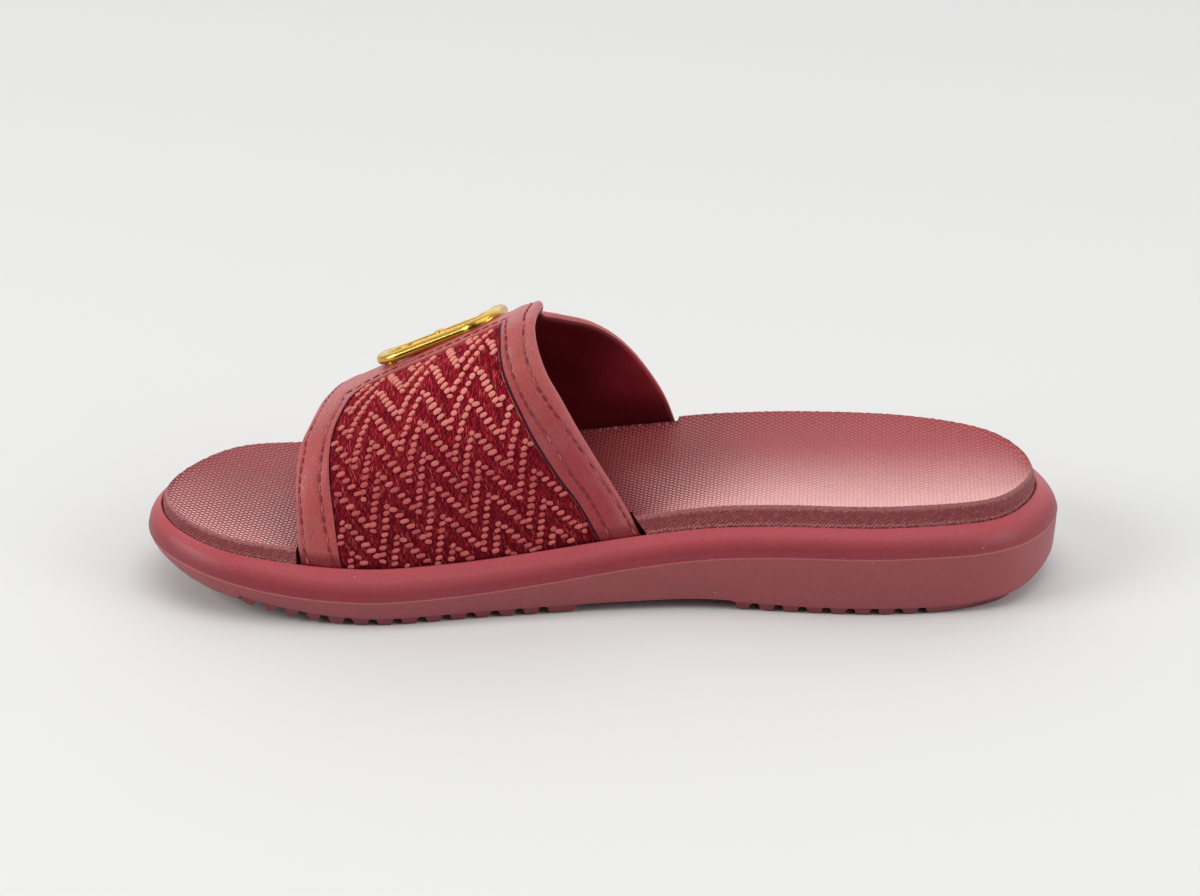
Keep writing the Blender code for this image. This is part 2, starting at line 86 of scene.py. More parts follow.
class SectionTable:
    """A short table of sections, read between its rows by a curve that never overshoots."""

    def __init__(self, columns: Sequence[str], rows: Rows) -> None:
        """Keep the table.

        Args:
            columns: Names of the columns; the first one is the key.
            rows: The rows, in rising order of the key.
        """
        self.columns = tuple(columns)
        self.rows = np.array(rows, dtype=float)

    def slopes(self, values: np.ndarray) -> np.ndarray:
        """Slopes at the rows.

        Args:
            values: One column of the table.

        Returns:
            One slope for each row, zero where the column turns.
        """
        steps = np.diff(self.rows[:, 0])
        rises = np.diff(values) / steps
        slope = np.zeros(len(values))
        for i in range(1, len(values) - 1):
            if rises[i - 1] * rises[i] > 0.0:
                before = 2.0 * steps[i] + steps[i - 1]
                after = steps[i] + 2.0 * steps[i - 1]
                slope[i] = (before + after) / (before / rises[i - 1] + after / rises[i])
        slope[0] = rises[0]
        slope[-1] = rises[-1]
        return slope

    def at(self, column: str, key: np.ndarray | float) -> np.ndarray:
        """Read a column at one or many keys.

        Args:
            column: Name of the column.
            key: Where to read it; outside the table the end row holds.

        Returns:
            The values, in the shape of the keys.
        """
        keys = self.rows[:, 0]
        values = self.rows[:, self.columns.index(column)]
        slope = self.slopes(values)
        key = np.clip(np.asarray(key, dtype=float), keys[0], keys[-1])
        i = np.clip(np.searchsorted(keys, key) - 1, 0, len(keys) - 2)
        step = keys[i + 1] - keys[i]
        s = (key - keys[i]) / step
        start = (2 * s**3 - 3 * s**2 + 1) * values[i] + (s**3 - 2 * s**2 + s) * step * slope[i]
        end = (3 * s**2 - 2 * s**3) * values[i + 1] + (s**3 - s**2) * step * slope[i + 1]
        return start + end


def smooth_step(low: float, high: float, value: np.ndarray) -> np.ndarray:
    """Soft step from 0 at the low value to 1 at the high value."""
    s = np.clip((np.asarray(value, dtype=float) - low) / (high - low), 0.0, 1.0)
    return s * s * (3.0 - 2.0 * s)


@dataclass(frozen=True)
class ShoeForm:
    """The shared shape of the shoe: its outline, its side view and the last under the strap."""

    length: float = 0.2587
    ball_width: float = 0.0966
    heel_height: float = 0.0314
    instep_height: float = 0.0802
    gap: float = 0.0003
    pocket_depth: float = 0.0060
    spring_depth: float = 0.0020
    outline_rows: Rows = (
        (0.0, -11.4), (2.1, -28.1), (8.5, -42.1), (24.0, -50.1), (37.9, -44.9), (57.2, -39.3),
        (81.9, -43.1), (94.5, -34.3), (100.0, -6.2), (96.1, 22.9), (85.4, 36.9), (61.8, 42.6),
        (38.7, 49.9), (20.1, 47.8), (7.7, 33.3), (1.5, 8.3),
    )
    sole_columns: tuple[str, ...] = (
        "along", "tread", "parting", "rim", "step", "dish",
        "rim_inset", "step_inset", "tread_inset", "bulge",
    )
    sole_rows: Rows = (
        (0.0, 34.9, 50.7, 73.4, 9.6, 2.0, 4.0, 1.6, 3.6, 1.7),
        (7.7, 20.3, 39.6, 62.6, 10.9, 2.6, 4.6, 1.6, 3.4, 1.7),
        (15.5, 8.4, 30.7, 54.2, 11.5, 3.2, 6.5, 1.6, 3.0, 1.7),
        (21.2, 2.2, 27.2, 50.9, 11.8, 3.4, 6.9, 1.6, 3.0, 1.7),
        (26.5, 0.0, 26.2, 50.0, 12.4, 3.4, 7.0, 1.6, 3.0, 1.7),
        (33.6, 0.0, 27.0, 50.7, 13.0, 3.8, 7.0, 1.6, 3.0, 1.7),
        (42.5, 1.2, 33.3, 56.8, 14.6, 4.4, 7.0, 1.6, 3.0, 1.7),
        (54.1, 2.2, 46.0, 69.5, 16.6, 5.2, 6.0, 1.4, 3.0, 1.7),
        (64.6, 1.6, 55.5, 79.1, 17.9, 6.4, 5.6, 1.4, 3.0, 1.7),
        (72.0, 0.0, 58.2, 81.8, 17.9, 7.4, 5.6, 1.4, 3.0, 1.7),
        (87.0, 0.0, 58.7, 82.2, 17.9, 7.4, 5.8, 1.4, 2.4, 1.8),
        (94.3, 0.0, 58.7, 81.6, 17.5, 6.4, 6.2, 1.5, 2.8, 3.0),
        (100.0, 9.7, 58.7, 80.9, 17.2, 5.0, 6.4, 1.6, 6.0, 8.0),
    )
    last_columns: tuple[str, ...] = ("along", "crest_side", "crest", "medial", "lateral")
    last_rows: Rows = (
        (15.5, -8.3, 55.4, 2.30, 2.10),
        (21.6, -9.4, 66.0, 2.30, 2.10),
        (30.9, -10.4, 81.6, 2.20, 2.05),
        (42.5, -12.5, 100.0, 2.15, 2.00),
        (59.9, -14.6, 124.0, 2.10, 2.00),
    )
    samples: int = 3200
    toe_zone: float = 0.0160
    heel_zone: float = 0.2420
    zone_cells: int = 46
    middle_step: float = 0.00046
    angle_step: float = 0.6
    along_step: float = 0.0006

    def __post_init__(self) -> None:
        """Work out the outline and the last once, because every piece reads them."""
        keep = object.__setattr__
        keep(self, "sole_table", SectionTable(self.sole_columns, self.sole_rows))
        keep(self, "last_table", SectionTable(self.last_columns, self.last_rows))
        keep(self, "outline", self.smooth_outline())
        keep(self, "strap_base", self.inset_curve(self.outline_inset("rim_inset") + self.gap))

    def smooth_outline(self) -> np.ndarray:
        """Closed curve through the outline's points.

        Returns:
            Rows of along and side, in metres.
        """
        points = np.array(self.outline_rows) * np.array((self.length, self.ball_width)) / 100.0
        count = len(points)
        s = np.arange(self.samples // count)[:, None] / (self.samples // count)
        spans = []
        for i in range(count):
            p0, p1, p2, p3 = (points[(i + k - 1) % count] for k in range(4))
            d01, d12, d23 = (
                math.sqrt(np.linalg.norm(b - a)) for a, b in ((p0, p1), (p1, p2), (p2, p3))
            )
            m1 = p2 - p1 + d12 * ((p1 - p0) / d01 - (p2 - p0) / (d01 + d12))
            m2 = p2 - p1 + d12 * ((p3 - p2) / d23 - (p3 - p1) / (d12 + d23))
            start = (2 * s**3 - 3 * s**2 + 1) * p1 + (s**3 - 2 * s**2 + s) * m1
            spans.append(start + (3 * s**2 - 2 * s**3) * p2 + (s**3 - s**2) * m2)
        curve = np.vstack(spans)
        low, high = curve.min(axis=0), curve.max(axis=0)
        curve = (curve - low) / (high - low) * np.array((self.length, self.ball_width))
        curve[:, 1] -= self.ball_width / 2.0
        return curve

    def inset_curve(self, distance: np.ndarray | float) -> np.ndarray:
        """The outline moved inwards by a distance for each of its points."""
        run = np.roll(self.outline, -1, axis=0) - np.roll(self.outline, 1, axis=0)
        run /= np.linalg.norm(run, axis=1)[:, None]
        inward = np.stack([-run[:, 1], run[:, 0]], axis=-1)
        return self.outline + inward * np.broadcast_to(distance, len(run))[:, None]

    def side_at(self, curve: np.ndarray, along: np.ndarray, side: Side) -> np.ndarray:
        """Side position of a closed curve.

        Args:
            curve: Closed curve of along and side.
            along: Distances behind the toe tip.
            side: Which half of the curve to read.

        Returns:
            The side positions, negative on the medial side.
        """
        curve = np.roll(curve, -int(np.argmin(curve[:, 0])), axis=0)
        heel = int(np.argmax(curve[:, 0]))
        half = curve[: heel + 1]
        if side is Side.LATERAL:
            half = np.vstack([curve[heel:], curve[:1]])[::-1]
        return np.interp(along, half[:, 0], half[:, 1])

    def number(self, column: str, along: np.ndarray | float) -> np.ndarray:
        """A plain column of the sole's table at distances behind the toe tip."""
        return self.sole_table.at(column, np.asarray(along) / self.length * 100.0)

    def height(self, column: str, along: np.ndarray | float) -> np.ndarray:
        """A height of the sole in metres at distances behind the toe tip."""
        return self.number(column, along) * self.heel_height / 100.0

    def pocket_floor(self, along: np.ndarray) -> np.ndarray:
        """Height that the pieces in the pocket start from."""
        return self.height("rim", along) - self.pocket_depth + self.gap

    def outline_number(self, column: str) -> np.ndarray:
        """A plain column read for each point of the outline."""
        return self.number(column, self.outline[:, 0])

    def outline_inset(self, column: str) -> np.ndarray:
        """An inset in metres for each point of the outline."""
        return self.outline_number(column) * MM

    def stations(self, low: float, high: float) -> np.ndarray:
        """Distances behind the toe tip for one ring: even, and close together at both ends."""
        end = (np.arange(self.zone_cells) / self.zone_cells) ** 2
        count = round((self.heel_zone - self.toe_zone) / self.middle_step)
        middle = np.linspace(self.toe_zone, self.heel_zone, count + 1)
        toe = low + (self.toe_zone - low) * end
        heel = high - (high - self.heel_zone) * end[::-1]
        return np.concatenate([toe, middle, heel])

    def halves(self, distance: np.ndarray | float) -> tuple[np.ndarray, np.ndarray]:
        """Points of a ring at an inset.

        Args:
            distance: Inset for each point of the outline.

        Returns:
            The medial and the lateral half, from toe to heel, as rows of along and side.
        """
        curve = self.inset_curve(distance)
        along = self.stations(curve[:, 0].min(), curve[:, 0].max())
        medial = np.stack([along, self.side_at(curve, along, Side.MEDIAL)], axis=-1)
        lateral = np.stack([along, self.side_at(curve, along, Side.LATERAL)], axis=-1)
        middle = (medial + lateral) / 2.0
        medial[[0, -1]] = middle[[0, -1]]
        lateral[[0, -1]] = middle[[0, -1]]
        return medial, lateral

    def placed(self, along: np.ndarray, side: np.ndarray, height: np.ndarray) -> np.ndarray:
        """Points in the shoe's frame."""
        return np.stack(np.broadcast_arrays(along - self.length / 2.0, side, height), axis=-1)

    def ring(
        self,
        distance: np.ndarray | float,
        height: Callable[[np.ndarray], np.ndarray],
    ) -> np.ndarray:
        """One closed level of a wall.

        Args:
            distance: Inset for each point of the outline.
            height: Height at distances behind the toe tip.

        Returns:
            Points once round the shoe; the last one meets the first.
        """
        medial, lateral = self.halves(distance)
        points = np.vstack([medial, lateral[-2::-1]])
        return self.placed(points[:, 0], points[:, 1], height(points[:, 0]))

    def deck(
        self,
        distance: np.ndarray | float,
        columns: int,
        height: Callable[[np.ndarray, np.ndarray], np.ndarray],
    ) -> np.ndarray:
        """A surface that closes a ring.

        Args:
            distance: Inset of the ring for each point of the outline.
            columns: Cells across the shoe.
            height: Height at distances behind the toe tip and at parts of the width.

        Returns:
            A grid of points, toe to heel and medial to lateral.
        """
        medial, lateral = self.halves(distance)
        across = np.linspace(0.0, 1.0, columns + 1)[None, :, None]
        flat = medial[:, None, :] * (1.0 - across) + lateral[:, None, :] * across
        return self.placed(flat[..., 0], flat[..., 1], height(flat[..., 0], across[..., 0]))

    def strap_points(self, angle: np.ndarray, along: np.ndarray) -> np.ndarray:
        """Points on the strap's outer face.

        Args:
            angle: Angles over the foot in degrees.
            along: Distances behind the toe tip.

        Returns:
            Points in the shoe's frame.
        """
        angle, along = np.broadcast_arrays(np.asarray(angle, float), np.asarray(along, float))
        place = along / self.length * 100.0
        spring = self.height("rim", along) - self.spring_depth
        crest_side = self.last_table.at("crest_side", place) * self.ball_width / 100.0
        crest = self.last_table.at("crest", place) * self.instep_height / 100.0
        over = np.cos(np.radians(angle))
        up = np.sin(np.radians(np.clip(angle, 0.0, 180.0)))
        medial = over > 0.0
        fullness = np.where(
            medial, self.last_table.at("medial", place), self.last_table.at("lateral", place)
        )
        edge = np.where(
            medial,
            self.side_at(self.strap_base, along, Side.MEDIAL),
            self.side_at(self.strap_base, along, Side.LATERAL),
        )
        reach = np.abs(over) ** (2.0 / fullness)
        rise = np.maximum(up, 0.0) ** (2.0 / fullness)
        side = crest_side + (edge - crest_side) * reach
        return self.placed(along, side, spring + (crest - spring) * rise)

    def strap_frame(
        self, angle: np.ndarray, along: np.ndarray
    ) -> tuple[np.ndarray, np.ndarray, np.ndarray, np.ndarray]:
        """Points on the strap's outer face with the directions there.

        Args:
            angle: Angles over the foot in degrees.
            along: Distances behind the toe tip.

        Returns:
            Points, unit directions towards the heel and over the foot, and outward normals.
        """
        angle, along = np.broadcast_arrays(np.asarray(angle, float), np.asarray(along, float))
        low = np.maximum(angle - self.angle_step, 0.0)
        high = np.minimum(angle + self.angle_step, 180.0)
        over = self.strap_points(high, along) - self.strap_points(low, along)
        after, before = along + self.along_step, along - self.along_step
        back = self.strap_points(angle, after) - self.strap_points(angle, before)
        out = unit(np.cross(back, over))
        return self.strap_points(angle, along), unit(back), unit(over), out


def run_along(route: np.ndarray) -> np.ndarray:
    """Length from a route's start to each of its points."""
    return np.concatenate([[0.0], np.cumsum(np.linalg.norm(np.diff(route, axis=0), axis=1))])


def unit(vectors: np.ndarray) -> np.ndarray:
    """Vectors scaled to length one."""
    return vectors / np.linalg.norm(vectors, axis=-1, keepdims=True)


def finished(
    bm: bmesh.types.BMesh, name: str, finishes: Sequence[bpy.types.Material]
) -> bpy.types.Object:
    """Turn a bmesh into a smooth object of the scene.

    Args:
        bm: The mesh in the making; it is freed.
        name: Name of the piece.
        finishes: Its materials, in the order of their numbers.

    Returns:
        The linked object.
    """
    mesh = bpy.data.meshes.new(name)
    bm.to_mesh(mesh)
    bm.free()
    for finish in finishes:
        mesh.materials.append(finish)
    mesh.shade_smooth()
    obj = bpy.data.objects.new(name, mesh)
    bpy.context.scene.collection.objects.link(obj)
    return obj


class MeshDesk:
    """A bmesh in the making: grids are laid on surfaces, welded and turned into one object."""

    def __init__(self, floats: Sequence[str] = (), vectors: Sequence[str] = ()) -> None:
        """Open an empty mesh.

        Args:
            floats: Names of masks kept on the vertices.
            vectors: Names of charts kept on the vertices.
        """
        self.bm = bmesh.new()
        self.floats = {name: self.bm.verts.layers.float.new(name) for name in floats}
        self.vectors = {name: self.bm.verts.layers.float_vector.new(name) for name in vectors}

    def lay(
        self,
        points: np.ndarray,
        masks: dict[str, np.ndarray] | None = None,
        charts: dict[str, np.ndarray] | None = None,
        finish: np.ndarray | int = 0,
    ) -> None:
        """Lay a grid of cells on a surface.

        Args:
            points: Grid of points, one more each way than the cells.
            masks: A value for each point under each mask's name.
            charts: A vector for each point under each chart's name.
            finish: Number of the finish, for the whole grid or for each cell.
        """
        cells_u, cells_v = points.shape[0] - 1, points.shape[1] - 1
        made = bmesh.ops.create_grid(self.bm, x_segments=cells_u, y_segments=cells_v, size=1.0)
        faces: dict[bmesh.types.BMFace, tuple[int, int]] = {}
        rows = points.tolist()
        for vert in made["verts"]:
            i = round((vert.co.x + 1.0) / 2.0 * cells_u)
            j = round((vert.co.y + 1.0) / 2.0 * cells_v)
            vert.co = rows[i][j]
            for name, values in (masks or {}).items():
                vert[self.floats[name]] = float(values[i, j])
            for name, values in (charts or {}).items():
                vert[self.vectors[name]] = values[i, j]
            for face in vert.link_faces:
                a, b = faces.get(face, (i, j))
                faces[face] = (min(a, i), min(b, j))
        if not isinstance(finish, int):
            for face, (i, j) in faces.items():
                face.material_index = int(finish[i, j])

    def close(
        self,
        name: str,
        finishes: Sequence[bpy.types.Material],
        sharp: float = 42.0,
        outward: bool = True,
    ) -> bpy.types.Object:
        """Weld the seams and hand over the finished object.

        Args:
            name: Name of the piece.
            finishes: Its materials, in the order of their numbers.
            sharp: Angle in degrees above which an edge stays crisp.
            outward: Whether the closed mesh has its faces turned outwards.

        Returns:
            The linked object.
        """
        bmesh.ops.remove_doubles(self.bm, verts=self.bm.verts, dist=WELD)
        bmesh.ops.dissolve_degenerate(self.bm, dist=WELD / 2.0, edges=self.bm.edges)
        if outward:
            bmesh.ops.recalc_face_normals(self.bm, faces=self.bm.faces)
        obj = finished(self.bm, name, finishes)
        obj.data.set_sharp_from_angle(angle=math.radians(sharp))
        return obj


def seat(obj: bpy.types.Object, slot: Slot, *nodes: str) -> None:
    """Fix a piece to the shoe and report it.

    Args:
        obj: The piece, already in place.
        slot: The record's slot for the piece's finish; not used.
        nodes: Frame nodes that it stands for.
    """
    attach(obj, "root")
    if nodes:
        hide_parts(*nodes)
    obj.data.calc_loop_triangles()
    LOG.info("%s: %d triangles", obj.name, len(obj.data.loop_triangles))


class Value:
    """A number, colour or vector on its way through a node tree; sums on it place math nodes."""

    def __init__(self, wires: "Wires", socket: Socket) -> None:
        """Hold one output of a node."""
        self.wires = wires
        self.socket = socket

    def __add__(self, other: object) -> "Value":
        """This and another number."""
        return self.wires.math("ADD", self, other)

    def __sub__(self, other: object) -> "Value":
        """This less another number."""
        return self.wires.math("SUBTRACT", self, other)

    def __rsub__(self, other: object) -> "Value":
        """A plain number less this."""
        return self.wires.math("SUBTRACT", other, self)

    def __mul__(self, other: object) -> "Value":
        """This times another number."""
        return self.wires.math("MULTIPLY", self, other)

    def __truediv__(self, other: object) -> "Value":
        """This divided by another number."""
        return self.wires.math("DIVIDE", self, other)

    def __pow__(self, power: float) -> "Value":
        """A power of this number's size, whatever its sign."""
        return self.wires.math("POWER", self.wires.math("ABSOLUTE", self), power)

    def clamped(self) -> "Value":
        """The same number, held between 0 and 1 by the node that makes it."""
        self.socket.node.use_clamp = True
        return self


class Wires:
    """Short way to place nodes and join them in a material or in a node group."""

    def __init__(self, tree: bpy.types.NodeTree) -> None:
        """Work on one node tree."""
        self.tree = tree

    def feed(self, socket: Socket, value: object) -> None:
        """Give an input a plain value or join it to another node's output."""
        if isinstance(value, Value):
            self.tree.links.new(value.socket, socket)
        elif value is not None:
            socket.default_value = value

    def node(
        self, kind: str, inputs: dict[str | int, object] | None = None, **settings: object
    ) -> bpy.types.Node:
        """Place a node.

        Args:
            kind: Type of the node.
            inputs: Its inputs by name or number, plain or joined.
            settings: Its settings by name.

        Returns:
            The new node.
        """
        node = self.tree.nodes.new(kind)
        for name, setting in settings.items():
            setattr(node, name, setting)
        for key, value in (inputs or {}).items():
            self.feed(node.inputs[key], value)
        return node

    def value(
        self,
        kind: str,
        inputs: dict[str | int, object] | None = None,
        output: str | int = 0,
        **settings: object,
    ) -> Value:
        """Place a node and take one of its outputs."""
        return Value(self, self.node(kind, inputs, **settings).outputs[output])

    def math(self, operation: str, *values: object) -> Value:
        """Sum on numbers, named as the math node has it."""
        return self.value("ShaderNodeMath", dict(enumerate(values)), operation=operation)

    def vector(self, operation: str, *values: object, output: str = "Vector") -> Value:
        """Sum on vectors, named as the vector math node has it."""
        inputs = dict(enumerate(values))
        return self.value("ShaderNodeVectorMath", inputs, output, operation=operation)

    def scaled(self, colour: object, tone: Value) -> Value:
        """A colour made lighter or darker."""
        inputs = {0: colour, "Scale": tone}
        return self.value("ShaderNodeVectorMath", inputs, "Vector", operation="SCALE")

    def range(
        self, value: Value, low: float, high: float, to: tuple[float, float] = (0.0, 1.0)
    ) -> Value:
        """A smooth step of a value between two limits, onto a new range."""
        names = ("Value", "From Min", "From Max", "To Min", "To Max")
        inputs = dict(zip(names, (value, low, high, *to)))
        return self.value("ShaderNodeMapRange", inputs, interpolation_type="SMOOTHSTEP")

    def blend(self, factor: Value, first: object, second: object) -> Value:
        """Mix of two colours.

        Args:
            factor: How much of the second colour, 0 to 1.
            first: First colour, plain or joined.
            second: Second colour, plain or joined.

        Returns:
            The mixed colour.
        """
        node = self.node("ShaderNodeMix", {"Factor": factor}, data_type="RGBA")
        colours = [socket for socket in node.inputs if socket.type == "RGBA"]
        for socket, value in zip(colours, (first, second)):
            self.feed(socket, (*value, 1.0) if isinstance(value, tuple) else value)
        return Value(self, next(s for s in node.outputs if s.type == "RGBA"))

    def noise(self, vector: Value, scale: object, detail: float = 2.0, rough: float = 0.5) -> Value:
        """Smooth noise from 0 to 1."""
        inputs = {"Vector": vector, "Scale": scale, "Detail": detail, "Roughness": rough}
        return self.value("ShaderNodeTexNoise", inputs, "Fac")

    def scatter(self, vector: Value) -> Value:
        """A steady random number for each whole-number place."""
        return self.value(
            "ShaderNodeTexWhiteNoise", {"Vector": vector}, "Value", noise_dimensions="3D"
        )

    def split(self, vector: Value) -> tuple[Value, ...]:
        """The three parts of a vector."""
        node = self.node("ShaderNodeSeparateXYZ", {0: vector})
        return tuple(Value(self, socket) for socket in node.outputs)

    def join(self, x: object, y: object, z: object = 0.0) -> Value:
        """A vector from its parts."""
        return self.value("ShaderNodeCombineXYZ", {0: x, 1: y, 2: z})

    def mask(self, name: str) -> Value:
        """A mask that the mesh carries."""
        return self.value("ShaderNodeAttribute", None, "Fac", attribute_name=name)

    def chart(self, name: str) -> Value:
        """A chart that the mesh carries."""
        return self.value("ShaderNodeAttribute", None, "Vector", attribute_name=name)

    def place(self) -> Value:
        """Object coordinates, in metres."""
        return self.value("ShaderNodeTexCoord", None, "Object")

    def use(self, group: bpy.types.NodeTree, **inputs: object) -> dict[str, Value]:
        """Place a shared effect; its inputs go in and its outputs come back by name."""
        node = self.node("ShaderNodeGroup", inputs, node_tree=group)
        return {socket.name: Value(self, socket) for socket in node.outputs}

    def bump(
        self, height: Value, distance: float, strength: float = 1.0, under: Value | None = None
    ) -> Value:
        """Surface relief.

        Args:
            height: Height between 0 and 1.
            distance: Depth in metres.
            strength: How much of it shows.
            under: A coarser relief that it lies on.

        Returns:
            The normal.
        """
        inputs = {"Strength": strength, "Distance": distance, "Height": height, "Normal": under}
        return self.value("ShaderNodeBump", inputs, "Normal")


class SharedEffects:
    """Node groups of the effects that the finishes are made of, each built once."""

    def __init__(self) -> None:
        """Build all the groups."""
        self.grain = self.build_grain()
        self.mottle = self.build_mottle()
        self.specks = self.build_specks()
        self.pads = self.build_pads()
        self.strands = self.build_strands()

    def tone(self, w: Wires, scale: float, amount: float) -> Value:
        """Uneven tone, about 1, of a dyed or moulded surface."""
        return w.use(self.mottle, Vector=w.place(), Scale=scale, Amount=amount)["Tone"]

    @staticmethod
    def open(
        name: str, inputs: dict[str, float | None], outputs: tuple[str, ...]
    ) -> tuple[Wires, dict[str, Value], bpy.types.Node]:
        """Start a node group.

        Args:
            name: Its name.
            inputs: Names of its inputs with a plain value, or None for a vector.
            outputs: Names of its outputs, all plain numbers.

        Returns:
            Wires on the group, its inputs by name and its output node.
        """
        group = bpy.data.node_groups.new(name, "ShaderNodeTree")
        for key, value in inputs.items():
            kind = "NodeSocketVector" if value is None else "NodeSocketFloat"
            socket = group.interface.new_socket(name=key, in_out="INPUT", socket_type=kind)
            if value is not None:
                socket.default_value = value
        for key in outputs:
            group.interface.new_socket(name=key, in_out="OUTPUT", socket_type="NodeSocketFloat")
        w = Wires(group)
        entry, leave = w.node("NodeGroupInput"), w.node("NodeGroupOutput")
        return w, {s.name: Value(w, s) for s in entry.outputs if s.name}, leave

    @staticmethod
    def close(w: Wires, leave: bpy.types.Node, **outputs: Value) -> bpy.types.NodeTree:
        """Join the outputs of a group by name and hand it over."""
        for name, value in outputs.items():
            w.feed(leave.inputs[name], value)
        return w.tree

    def build_grain(self) -> bpy.types.NodeTree:
        """Pebbled grain of leather: small cells broken up by noise."""
        w, given, leave = self.open(
            "pebbled_grain", {"Vector": None, "Scale": 900.0, "Break": 0.35}, ("Height", "Hollow")
        )
        inputs = {"Vector": given["Vector"], "Scale": given["Scale"]}
        edge = w.value("ShaderNodeTexVoronoi", inputs, "Distance", feature="DISTANCE_TO_EDGE")
        fine = w.noise(given["Vector"], given["Scale"] * 2.3, 3.0, 0.6)
        height = (w.range(edge, 0.0, 0.22) + (fine - 0.5) * given["Break"]).clamped()
        return self.close(w, leave, Height=height, Hollow=(1.0 - height).clamped())

    def build_mottle(self) -> bpy.types.NodeTree:
        """Slow and quick unevenness of a tone."""
        w, given, leave = self.open(
            "uneven_tone", {"Vector": None, "Scale": 60.0, "Amount": 0.1}, ("Tone",)
        )
        slow = w.noise(given["Vector"], given["Scale"], 3.0, 0.55)
        quick = w.noise(given["Vector"], given["Scale"] * 9.0)
        shift = (slow * 0.7 + quick * 0.3 - 0.5) * given["Amount"]
        return self.close(w, leave, Tone=shift * 2.0 + 1.0)

    def build_specks(self) -> bpy.types.NodeTree:
        """Sparse pale specks of dust."""
        w, given, leave = self.open(
            "dust_specks", {"Vector": None, "Scale": 140.0, "Size": 0.05, "Share": 0.2}, ("Speck",)
        )
        inputs = {"Vector": given["Vector"], "Scale": given["Scale"]}
        cells = w.node("ShaderNodeTexVoronoi", inputs)
        distance, colour = (Value(w, cells.outputs[name]) for name in ("Distance", "Color"))
        near = w.math("LESS_THAN", distance, given["Size"])
        kept = w.math("LESS_THAN", w.split(colour)[0], given["Share"])
        return self.close(w, leave, Speck=near * kept)

    def build_pads(self) -> bpy.types.NodeTree:
        """Small raised pads in staggered columns, with hollows between them."""
        w, given, leave = self.open(
            "staggered_pads",
            {"Chart": None, "Pitch": 0.001, "Row": 0.001, "Wander": 0.2},
            ("Height", "Hollow"),
        )
        u, v, _ = w.split(given["Chart"])
        waver = (w.noise(given["Chart"], 260.0) - 0.5) * given["Wander"]
        across = v / given["Row"] + waver
        odd = w.math("MODULO", w.math("ABSOLUTE", w.math("FLOOR", across)), 2.0)
        along = u / given["Pitch"] + odd * 0.5 + waver
        x, y = w.math("FRACT", along) - 0.5, w.math("FRACT", across) - 0.5
        reach = w.math("SQRT", x**2.0 * 1.80 + y**2.0 * 0.60)
        height = w.range(reach, 0.24, 0.60, (1.0, 0.0))
        return self.close(w, leave, Height=height, Hollow=(1.0 - height).clamped())

    def build_strands(self) -> bpy.types.NodeTree:
        """Fine slanted strands side by side, each with its own tone and its own start."""
        w, given, leave = self.open(
            "fine_strands",
            {"Chart": None, "Width": 0.0006, "Length": 0.0024, "Slant": 0.3},
            ("Height", "Tone"),
        )
        u, v, _ = w.split(given["Chart"])
        across = (u + v * given["Slant"]) / given["Width"]
        column = w.math("FLOOR", across)
        along = v / given["Length"] + column * 0.37
        x, y = w.math("FRACT", across) - 0.5, w.math("FRACT", along) - 0.5
        height = (1.0 - (x**2.0 * 4.0 + y**4.0 * 14.0)).clamped()
        tone = w.scatter(w.join(column, w.math("FLOOR", along), 3.0))
        return self.close(w, leave, Height=height, Tone=tone)


@dataclass(frozen=True)
class Finish:
    """Base of every finish: a Principled material that a subclass wires."""

    name: str

    def build(self, effects: SharedEffects) -> bpy.types.Material:
        """Make the material.

        Args:
            effects: The shared node groups.

        Returns:
            The wired material.
        """
        material = bpy.data.materials.new(self.name)
        material.use_nodes = True
        wires = Wires(material.node_tree)
        shader = material.node_tree.nodes["Principled BSDF"]
        for name, value in self.wire(wires, effects).items():
            wires.feed(shader.inputs[name], value)
        return material

    def wire(self, w: Wires, effects: SharedEffects) -> dict[str, object]:
        """Wire the finish; gives the shader's inputs by name."""
        raise NotImplementedError


@dataclass(frozen=True)
class FoamFinish(Finish):
    """Satin moulded foam of the sole: clearer red on the rim, duller below the mould line."""

    rim: Colour = (0.252, 0.032, 0.042)
    # Painted highlight: the up-facing top of the rim is made paler.
    crown_highlight: Colour = (0.425, 0.057, 0.072)
    wall: Colour = (0.312, 0.065, 0.075)
    seam: Colour = (0.500, 0.160, 0.165)
    # Painted shade: the lugs and the heel bevel, which face down, are made darker.
    tread: Colour = (0.200, 0.035, 0.043)
    speck: Colour = (0.640, 0.360, 0.340)
    grain_scale: float = 1500.0
    grain_depth: float = 0.00006
    swell_depth: float = 0.00010
    specular: float = 0.42

    def wire(self, w: Wires, effects: SharedEffects) -> dict[str, object]:
        """Colours by the masks: painted highlight on the rim's top, painted shade on the lugs; fine
        grain, a few specks.
        """
        place, rim = w.place(), w.mask("rim")
        colour = w.blend(w.range(rim, 0.0, 0.5), self.wall, self.rim)
        # Painted highlight on the crown of the rim.
        colour = w.blend(w.range(rim, 0.62, 0.96), colour, self.crown_highlight)
        # Painted shade on the lugs, by the tread mask.
        colour = w.blend(w.mask("tread"), colour, self.tread)
        colour = w.blend(w.mask("seam") * 0.55, colour, self.seam)
        grain = w.noise(place, self.grain_scale, 3.0, 0.65)
        colour = w.scaled(colour, effects.tone(w, 55.0, 0.10) * (grain * 0.72 + 0.64))
        speck = w.use(effects.specks, Vector=place, Scale=230.0, Size=0.055, Share=0.22)["Speck"]
        soft = w.bump(w.noise(place, 120.0), self.swell_depth, 0.6)
        return {
            "Base Color": w.blend(speck * 0.5, colour, self.speck),
            "Normal": w.bump(grain, self.grain_depth, 0.5, under=soft),
            "Roughness": grain * 0.12 + 0.40,
            "Specular IOR Level": self.specular,
        }


